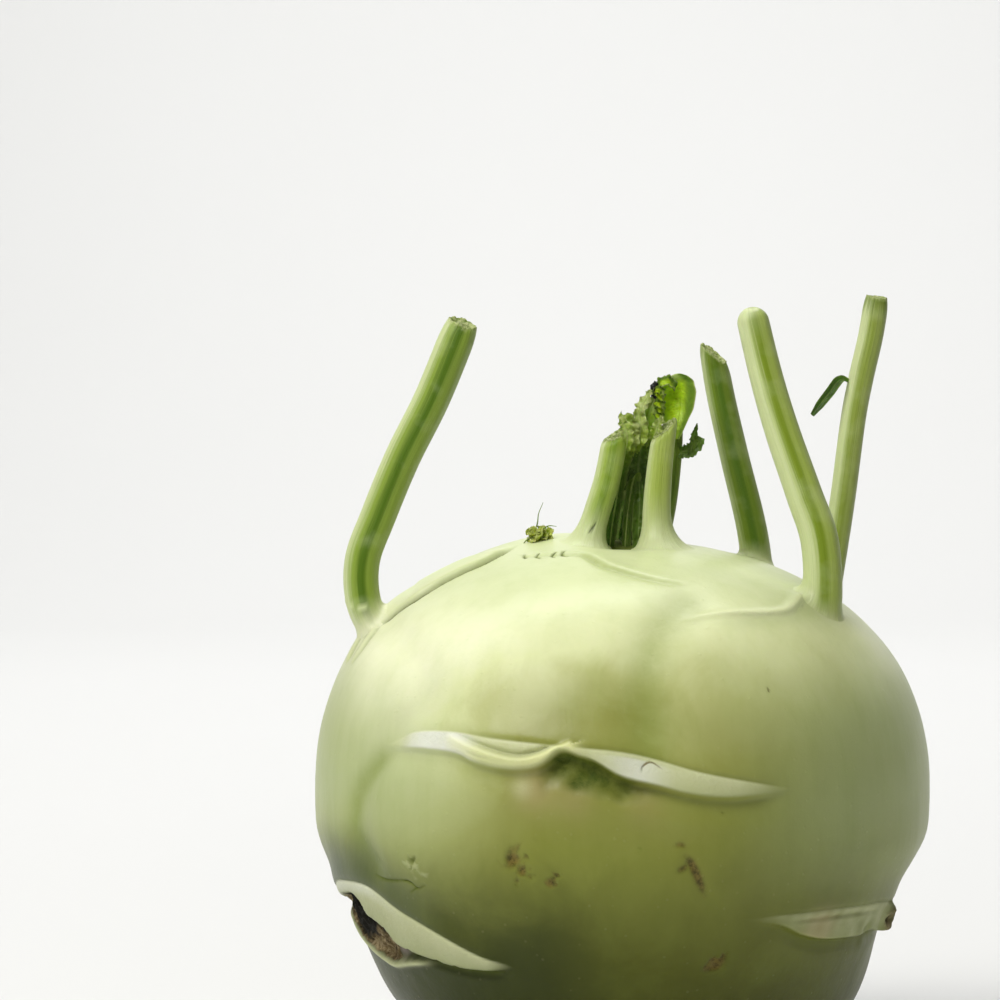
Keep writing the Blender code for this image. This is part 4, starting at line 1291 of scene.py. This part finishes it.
def make_leaf_finish(name, vein_share, margin_share, glow_share=0.0, bright=LEAF_BRIGHT,
                     lightest=LEAF_PALE):
    material, wire, place = start_material(name)
    tone = wire.mask("tone")
    margin = wire.mask("margin")
    across = wire.mask("across")
    along = wire.mask("along")
    laid = wire.node("CombineXYZ", {}, {"X": across, "Y": along * 3.0 + across * across, "Z": 0.0})
    clouds = wire.noise(place, 420.0, 4.0, 0.6)
    veins = wire.noise(wire.stretched(laid, (0.5, 4.0, 1.0)), 3.4, 2.0, 0.5)
    branch = ((veins - 0.5) * (veins - 0.5)).step(0.0015, 0.0)
    rib = (across * across).step(0.030, 0.004)
    level = tone + (clouds - 0.5) * 0.5
    stops = ((0.0, LEAF_DARK), (0.42, LEAF_GREEN), (0.78, bright), (1.0, lightest))
    colour = wire.node("ValToRGB", {"stops": stops}, {"Fac": level})
    colour = (branch * vein_share * 0.6).clamp().mix(colour, LEAF_PALE)
    colour = (rib * vein_share).clamp().mix(colour, LEAF_PALE)
    colour = (margin * margin_share * (0.4 + clouds)).clamp().mix(colour, LEAF_PALE)
    if glow_share:
        glow = across.step(-0.95, -0.35) * across.step(0.65, 0.0) * along.step(0.12, 0.4) * along.step(0.98,
                                                                                                       0.7)
        colour = (glow * glow_share * (0.8 + clouds * 0.7)).clamp().mix(colour, LEAF_GLOW)
        colour = (across.step(0.25, 0.75) * across.step(1.0, 0.88) * 0.85).mix(colour, LEAF_GREEN)
    colour = wire.mask("soot").mix(colour, SOOT)
    constants = {"IOR": 1.38, "Coat Weight": 0.08, "Coat Roughness": 0.3, "Subsurface Weight": 0.15,
                 "Subsurface Radius": (0.5, 1.0, 0.2), "Subsurface Scale": 0.0015}
    varying = {"Base Color": colour, "Roughness": (0.46 + (clouds - 0.5) * 0.3).clamp()}
    bumps = ((branch * 0.5 + rib, 0.00015), (wire.noise(place, 2200.0, 3.0, 0.6), 0.00006))
    finish_material(wire, constants, varying, bumps)
    return material


YOUNG_LEAF = make_leaf_finish("young_leaf", 0.45, 0.35)
BRIGHT_LEAF = make_leaf_finish("bright_leaf", 0.08, 0.8, 0.95)
DARK_LEAF = make_leaf_finish("dark_leaf", 0.12, 0.12)


# %% [markdown]
# ## Three young leaves
# Each is built from a few blades that overlap, so its edge frills like a real one.

# %% The left young leaf, dark below and frilled above
def young_left():
    built = bmesh.new()
    blade(built, ((-2.4, -3.0, 40), (-1.9, -2.8, 48), (-0.8, -1.6, 55), (0.0, -1.0, 60), (0.9, -1.2, 64),
                  (1.2, -1.4, 67)),
          (1.0, 1.0, 1.2, 1.4, 1.8, 0.6), (0.1, -1, 0.2), (0.05, 0.05, 0.12, 0.35, 0.8, 0.9), 0.5,
          (0.15, 0.7), 7.0, (0.2, 0.2, 11.0), seed=2.0)
    blade(built, ((0.6, 0.0, 60), (1.0, -0.9, 63), (1.4, -1.6, 65.5), (0.9, -2.0, 68), (-0.4, -2.2, 69.6)),
          (0.5, 1.6, 2.1, 1.9, 0.5), (0.2, -1, 0.3), (0.4, 0.75, 0.95, 0.9, 0.8), 0.3, (0.35, 0.75), 5.0,
          (0.2, 0.2, 8.0), seed=5.0)
    blade(built, ((0.6, -4.6, 62.6), (1.0, -5.8, 65.0), (0.7, -6.4, 67.0), (-0.3, -6.4, 68.9)),
          (0.5, 1.2, 1.4, 0.5), (0.1, -1, 0.3), (0.5, 0.8, 0.95, 0.85), 0.3, (0.3, 0.6), 5.0,
          (0.2, 0.2, 8.0), seed=21.0)
    blade(built, ((1.4, 0.2, 61), (2.4, -0.7, 63.4), (3.2, -1.3, 65.6), (3.3, -1.5, 68.2),
                  (2.6, -1.4, 70.6)),
          (0.4, 1.2, 1.8, 1.6, 0.4), (-0.1, -1, 0.1), (0.35, 0.7, 0.8, 0.9, 0.95), 0.35, (0.3, 0.6), 6.0,
          (0.2, 0.2, 9.0), seed=9.0)
    # A wide, crumpled blade behind, dark all over: painted shade in the gap between the stalks.
    blade(built, ((-1.2, 0.4, 40), (-0.6, 0.6, 48), (0.6, 0.8, 55), (1.6, 0.8, 61)), (1.6, 1.9, 2.1, 0.8),
          (0.0, -1, 0.1), (0.0, 0.05, 0.1, 0.2), 0.3, (0.1, 0.3), 4.0, (0.2, 0.2, 9.0), seed=14.0,
          rough=4.0)
    return built


# %% The middle young leaf, which arches up to the right
def young_mid():
    built = bmesh.new()
    blade(built, ((0.6, -2.4, 40), (0.8, -2.2, 48), (1.6, -1.0, 55), (2.9, 0.3, 61), (4.1, 0.5, 66),
                  (5.1, 0.2, 70), (6.5, 0.6, 73.6)),
          (0.9, 1.0, 1.2, 1.3, 1.7, 1.7, 0.5), (-0.25, -1, 0.1), (0.25, 0.3, 0.25, 0.5, 0.72, 0.82, 0.95),
          -0.45, (0.03, 0.12), 5.0, (0.15, 0.0, 12.0), seed=3.0)
    blade(built, ((3.2, 0.9, 64), (3.0, 0.2, 67), (3.3, -0.1, 69.6), (4.2, 0.0, 72.0), (5.8, 0.4, 74.2)),
          (0.4, 1.2, 1.3, 1.2, 0.3), (-0.4, -1, 0.3), (0.7, 0.85, 0.95, 0.95, 0.9), 0.3, (0.3, 0.6), 7.0,
          (0.35, 0.1, 12.0), seed=6.0)
    blade(built, ((5.6, -3.0, 65.0), (6.3, -3.6, 67.0), (7.2, -3.8, 69.2)), (0.7, 1.3, 0.4), (0.0, -1, 0.4),
          (0.7, 0.85, 0.9), 0.3, (0.3, 0.5), 4.0, (0.3, 0.3, 7.0), seed=8.0)
    return built


# %% The right young leaf, dark and crinkled
def young_right():
    built = bmesh.new()
    blade(built, ((3.3, -3.0, 40), (3.1, -2.8, 48), (3.3, -2.0, 53), (3.2, -1.2, 57.5)),
          (0.9, 1.15, 1.2, 0.5), (-0.1, -1, 0.1), (0.15, 0.22, 0.2, 0.1), 0.7, (0.10, 0.2), 3.0, seed=4.0,
          rough=3.0)
    blade(built, ((2.9, 1.0, 52), (2.9, 0.4, 56), (3.0, -0.2, 60), (3.4, -0.4, 63), (4.0, -0.4, 65)),
          (0.7, 1.5, 1.7, 1.6, 0.6), (0.1, -1, 0.2), (0.0, 0.02, 0.1, 0.3, 0.6), 0.2, (0.35, 0.55), 6.0,
          (0.3, 0.3, 8.0), seed=7.0)
    blade(built, ((0.6, 1.2, 54), (0.9, 0.6, 57), (1.4, 0.2, 60), (2.0, 0.0, 62.4)), (0.6, 1.2, 1.3, 0.5),
          (0.0, -1, 0.1), (0.0, 0.08, 0.2, 0.5), 0.2, (0.3, 0.5), 5.0, (0.3, 0.3, 7.0), seed=12.0)
    # A wide, crumpled blade behind, dark all over: painted shade in the gap between the stalks.
    blade(built, ((2.8, 1.4, 40), (2.9, 1.4, 48), (3.4, 1.2, 54), (4.0, 1.0, 61), (4.4, 0.9, 66)),
          (1.8, 2.2, 2.3, 2.0, 0.8), (0.0, -1, 0.1), (0.0, 0.05, 0.08, 0.2, 0.4), 0.2, (0.25, 0.4), 5.0,
          (0.15, 0.15, 9.0), seed=16.0, rough=4.0)
    return built


set_down(young_left(), "left_frilled_leaf", ["young_leaf_left"], YOUNG_LEAF)
set_down(young_mid(), "arching_leaf", ["young_leaf_mid"], YOUNG_LEAF)
set_down(young_right(), "crinkled_leaf", ["young_leaf_right"], DARK_LEAF)


# %% [markdown]
# The cupped leaf at the top is a small spoon. Its inside is smooth and bright, its rim is pale,
# and a comb of dark teeth stands along its left edge with a withered black scrap beside it. The
# lobed leaf next to it has a thick arm and an upright, saw-edged prong. The leaflet on the rear
# stalk is a narrow, folded blade.

# %% Cupped, lobed and side leaves
# Each tooth: its height, how far left its tip reaches, and how far the tip rises.
TEETH = ((69.0, 5.9, 0.5), (70.2, 6.3, -0.2), (71.2, 5.5, 0.3), (72.6, 6.0, 0.7), (73.6, 5.6, -0.3))


def cupped_leaf():
    built = bmesh.new()
    blade(built, ((9.6, 1.2, 65.0), (9.8, 1.5, 67.4), (10.1, 2.4, 70.0), (10.2, 3.2, 73.0),
                  (10.0, 3.2, 75.2), (9.4, 2.6, 76.7)),
          (0.8, 1.9, 3.1, 3.6, 3.2, 1.6), (-0.15, -1, 0.15), (0.62, 0.7, 0.62, 0.66, 0.8, 0.9), 0.62,
          (0.05, 0.2), 3.0, (0.12, 0.0, 9.0), 0.45, seed=1.0, sides=(1.3, 1.0))
    blade(built, ((9.6, 2.0, 74.0), (8.6, 1.2, 75.0), (7.4, 0.6, 75.2), (6.7, 0.6, 74.4)),
          (0.9, 1.5, 1.2, 0.4), (0.2, -0.7, 0.7), (0.4, 0.55, 0.5, 0.4), 0.5, (0.2, 0.35), 3.0,
          (0.2, 0.2, 6.0), 0.4, seed=4.0)
    for index, (height, left, lean) in enumerate(TEETH):
        blade(built, ((7.6, 0.7, height - 0.3), (0.5 * (7.2 + left), 0.1, height + 0.2),
                      (left, 0.3, height + lean)),
              (0.8, 0.75, 0.25), (0.3, -1, 0.4), (0.95, 0.6, 0.0), 0.45, (0.2, 0.4), 2.0, thickness=0.3,
              seed=index + 3.0, pale_margin=0.0)
    scrap = bmesh.new()
    bmesh.ops.create_icosphere(scrap, subdivisions=4, radius=1.0)
    soot = scrap.verts.layers.float.new("soot")
    for vertex in scrap.verts:
        rough = 1.0 + 0.55 * noise.noise(vertex.co * 1.7) + 0.25 * noise.noise(vertex.co * 5.0)
        vertex[soot] = 1.0
        vertex.co = (Vector((6.0, 0.7, 73.9)) + Vector((0.72, 0.55,
                                                        1.45)) * vertex.co * rough + MIDDLE) * MM
    join(built, scrap)
    return built


def lobed_leaf():
    built = bmesh.new()
    blade(built, ((9.7, 3.3, 62.6), (11.0, 3.0, 62.7), (12.3, 2.7, 63.1), (13.5, 2.5, 64.1),
                  (14.3, 2.4, 65.4)),
          (0.9, 1.3, 1.5, 1.4, 0.9), (0.1, -1, 0.1), (0.3, 0.3, 0.32, 0.35, 0.3), 0.5, (0.1, 0.25), 4.0,
          (0.25, 0.2, 6.0), 0.7, seed=2.0)
    blade(built, ((12.3, 2.6, 61.8), (12.7, 2.4, 63.8), (13.0, 2.3, 65.6), (13.6, 2.3, 67.9)),
          (0.7, 0.9, 0.8, 0.15), (0.1, -1, 0.1), (0.3, 0.3, 0.35, 0.4), 0.5, (0.08, 0.2), 4.0,
          (0.5, 0.3, 6.0), 0.5, seed=4.0)
    return built


def side_leaflet():
    built = bmesh.new()
    blade(built, ((42.0, 21.0, 75.4), (40.9, 20.5, 75.8), (39.8, 19.7, 75.2), (38.2, 18.8, 73.1),
                  (36.5, 18.1, 71.0), (35.1, 17.6, 69.2)),
          (0.40, 0.65, 0.90, 0.90, 0.80, 0.4), (0.35, -1, 0.75), (0.35, 0.3, 0.12, 0.1, 0.1, 0.05), 0.75,
          (0.02, 0.05), 3.0, thickness=0.3, seed=5.0)
    return built


set_down(cupped_leaf(), "spoon_leaf", ["cupped_leaf"], BRIGHT_LEAF)
set_down(lobed_leaf(), "antler_leaf", ["lobed_leaf"], DARK_LEAF)
set_down(side_leaflet(), "side_leaflet", ["stalk_leaflet"], DARK_LEAF)


# %% [markdown]
# ## Bud tuft
# Left of the crown a tiny side bud has opened into a tuft of crumpled leaves, with three dry hairs.
# Each leaf is one small blade, and the blades stand out of one place like a small dome. They turn by
# the golden angle from one to the next, as leaves of real buds do, so no two lie on each other.

# %% Tuft
GOLDEN_ANGLE = math.radians(137.5)
TUFT_FOOT = np.array((-14.6, -2.9, 46.8))
TUFT_AHEAD = np.array((0.0, -0.6, 0.8))
TUFT_UP = np.array((0.0, 0.8, 0.6))
TUFT_BLADES = 15
HAIR_COLUMNS = 9
HAIR_WIDTH = (0.16, 0.05)
HAIRS = (((-15.4, -3.0, 48.6), (-15.0, -3.0, 50.2), (-14.8, -3.0, 51.8), (-14.0, -3.0, 53.8)),
         ((-14.0, -3.2, 49.0), (-13.0, -3.3, 49.6), (-11.6, -3.3, 49.5)),
         ((-16.2, -3.6, 47.6), (-17.2, -3.8, 46.8), (-17.8, -3.9, 45.8)))
# The tuft's colours are lighter than its own, to make up for the shade among its crowded blades: painted
# light.
BUD_BRIGHT = paint(200, 216, 64)
BUD_PALE = paint(230, 240, 132)


def bud_tuft():
    built = bmesh.new()
    for index in range(TUFT_BLADES):
        turn = index * GOLDEN_ANGLE
        lean = 0.2 + 1.2 * (index / TUFT_BLADES) ** 0.6
        flat = math.cos(turn) * np.array((1.0, 0.0, 0.0)) + math.sin(turn) * TUFT_UP
        out = math.cos(lean) * TUFT_AHEAD + math.sin(lean) * flat
        length = 2.7 + 0.5 * math.sin(3.0 * turn)
        middle = TUFT_FOOT + out * length * 0.6 + 0.4 * TUFT_UP
        blade(built, (TUFT_FOOT + out * 0.3, middle, TUFT_FOOT + out * length), (0.4, 0.9, 1.1, 0.5),
              (-0.35 + 0.4 * out[0], -0.8, 0.6), (0.1, 0.8, 1.2 - 0.3 * (index % 4 == 0)), 0.5, (0.12, 0.3),
              2.5, (0.3, 0.3, 4.0), 0.2, seed=index + 1.0, rough=0.7)
    for route in HAIRS:
        join(built, hair(route))
    return built


def hair(route):
    """A dry hair: a thin tube that tapers to its tip."""
    centre = smooth_route(route, 8)
    _, right, back = frames_along(centre, (0.3, 1.0, 0.2))
    turns = np.linspace(0.0, 2.0 * np.pi, HAIR_COLUMNS)
    width = np.linspace(*HAIR_WIDTH, len(centre))[:, None, None]
    circle = np.cos(turns)[None, :, None] * right[:, None] + np.sin(turns)[None, :, None] * back[:, None]
    rows = centre[:, None] + width * circle
    root = np.repeat(centre[None, :1], HAIR_COLUMNS, axis=1)
    tip = np.repeat(centre[None, -1:], HAIR_COLUMNS, axis=1)
    rows = np.concatenate((root, rows, tip))
    rows[:, -1] = rows[:, 0]
    return rolled(rows, {"tone": 0.35, "margin": 0.6, "across": 0.5, "along": 0.5, "soot": 0.35})


bud_leaf = make_leaf_finish("bud_leaf", 0.1, 0.5, 0.0, BUD_BRIGHT, BUD_PALE)
set_down(bud_tuft(), "side_bud", ["bud_tuft"], bud_leaf)


# %% [markdown]
# ## Floor, light and camera
# A pale floor that curves up behind the kohlrabi, and one big soft light from the upper left.

# %% Floor and backdrop
CLOTH_DIM = (0.72, 0.72, 0.71, 1.0)
CLOTH_BRIGHT = (0.74, 0.74, 0.73, 1.0)


def make_backdrop():
    sheet = bmesh.new()
    bmesh.ops.create_grid(sheet, x_segments=1, y_segments=1, size=1.2)
    back = [edge for edge in sheet.edges if all(vertex.co.y > 1.1 for vertex in edge.verts)]
    bmesh.ops.spin(sheet, geom=back, cent=(0, 1.2, 0.6), axis=(1, 0, 0), angle=math.pi / 2, steps=24)
    top = [edge for edge in sheet.edges if all(vertex.co.z > 0.59 for vertex in edge.verts)]
    raised = bmesh.ops.extrude_edge_only(sheet, edges=top)
    tops = [vertex for vertex in raised["geom"] if isinstance(vertex, bmesh.types.BMVert)]
    bmesh.ops.translate(sheet, verts=tops, vec=(0, 0, 2))
    bmesh.ops.scale(sheet, verts=sheet.verts[:], vec=(3.0, 1.0, 1.0))
    mesh = bpy.data.meshes.new("backdrop")
    sheet.to_mesh(mesh)
    sheet.free()
    mesh.shade_smooth()
    backdrop = bpy.data.objects.new("backdrop", mesh)
    bpy.context.scene.collection.objects.link(backdrop)
    material, wire, place = start_material("pale_backdrop")
    cloth = wire.noise(place, 3.0, 2.0)
    colour = cloth.mix(CLOTH_DIM, CLOTH_BRIGHT)
    finish_material(wire, {"Specular IOR Level": 0.2}, {"Base Color": colour,
                                                        "Roughness": cloth * 0.1 + 0.8},
                    ((cloth, 0.0001),))
    mesh.materials.append(material)


make_backdrop()


# %% [markdown]
# ## Light
# The key light stands in front, to the upper left, and gives one soft shadow. A weaker light hangs
# above, and a third one lights the wall behind.

# %% Lights
def soft_light(name, place, aim, size, power, colour=(1.0, 1.0, 1.0)):
    """A square lamp that points at a place."""
    lamp = bpy.data.lights.new(name, "AREA")
    lamp.size = size
    lamp.energy = power
    lamp.color = colour
    holder = bpy.data.objects.new(name, lamp)
    bpy.context.scene.collection.objects.link(holder)
    holder.location = place
    holder.rotation_euler = (Vector(aim) - Vector(place)).to_track_quat("-Z", "Y").to_euler()


BULB_AIM = (0.0, 0.0, 0.06)
soft_light("key", (-0.55, -0.66, 0.98), BULB_AIM, 0.55, 12.0, (1.0, 0.99, 0.95))
soft_light("top", (0.25, -0.20, 1.5), BULB_AIM, 0.9, 4.0)
soft_light("wall_light", (0.0, 0.75, 1.7), (0.0, 1.8, 0.3), 1.2, 30.0)
world = bpy.data.worlds.new("studio")
bpy.context.scene.world = world
world.use_nodes = True
world.node_tree.nodes["Background"].inputs["Color"].default_value = (0.95, 0.97, 1.0, 1.0)
world.node_tree.nodes["Background"].inputs["Strength"].default_value = 0.06
bpy.context.scene.view_settings.view_transform = "Standard"

# %% [markdown]
# The camera stands seven degrees above the bulb's middle and sixty centimetres away from it. It
# is turned a little to the left and up, so that the bulb sits low on the right of the picture.

# %% Camera
CAMERA_RISE = math.radians(7.0)
CAMERA_AWAY = 0.600
CAMERA_LENS = 119.3
CAMERA_SENSOR = 36.0
AIM_LEFT = 0.0221
AIM_UP = 0.0543


def place_camera():
    lens = bpy.data.cameras.new("camera")
    lens.lens = CAMERA_LENS
    lens.sensor_width = CAMERA_SENSOR
    lens.clip_start = 0.01
    camera = bpy.data.objects.new("camera", lens)
    bpy.context.scene.collection.objects.link(camera)
    bulb_middle = Vector((0.0, 0.0, REST_DEPTH * MM))
    position = bulb_middle + CAMERA_AWAY * Vector((0.0, -math.cos(CAMERA_RISE), math.sin(CAMERA_RISE)))
    pitch = math.atan(AIM_UP / CAMERA_AWAY) - CAMERA_RISE
    yaw = math.atan(AIM_LEFT / CAMERA_AWAY)
    forward = Vector((-math.sin(yaw) * math.cos(pitch), math.cos(yaw) * math.cos(pitch), math.sin(pitch)))
    right = forward.cross(Vector((0, 0, 1))).normalized()
    turned = Matrix((right, right.cross(forward), -forward)).transposed()
    camera.matrix_world = Matrix.LocRotScale(position, turned, None)
    bpy.context.scene.camera = camera
    print("camera at", [round(value, 3) for value in position])


place_camera()
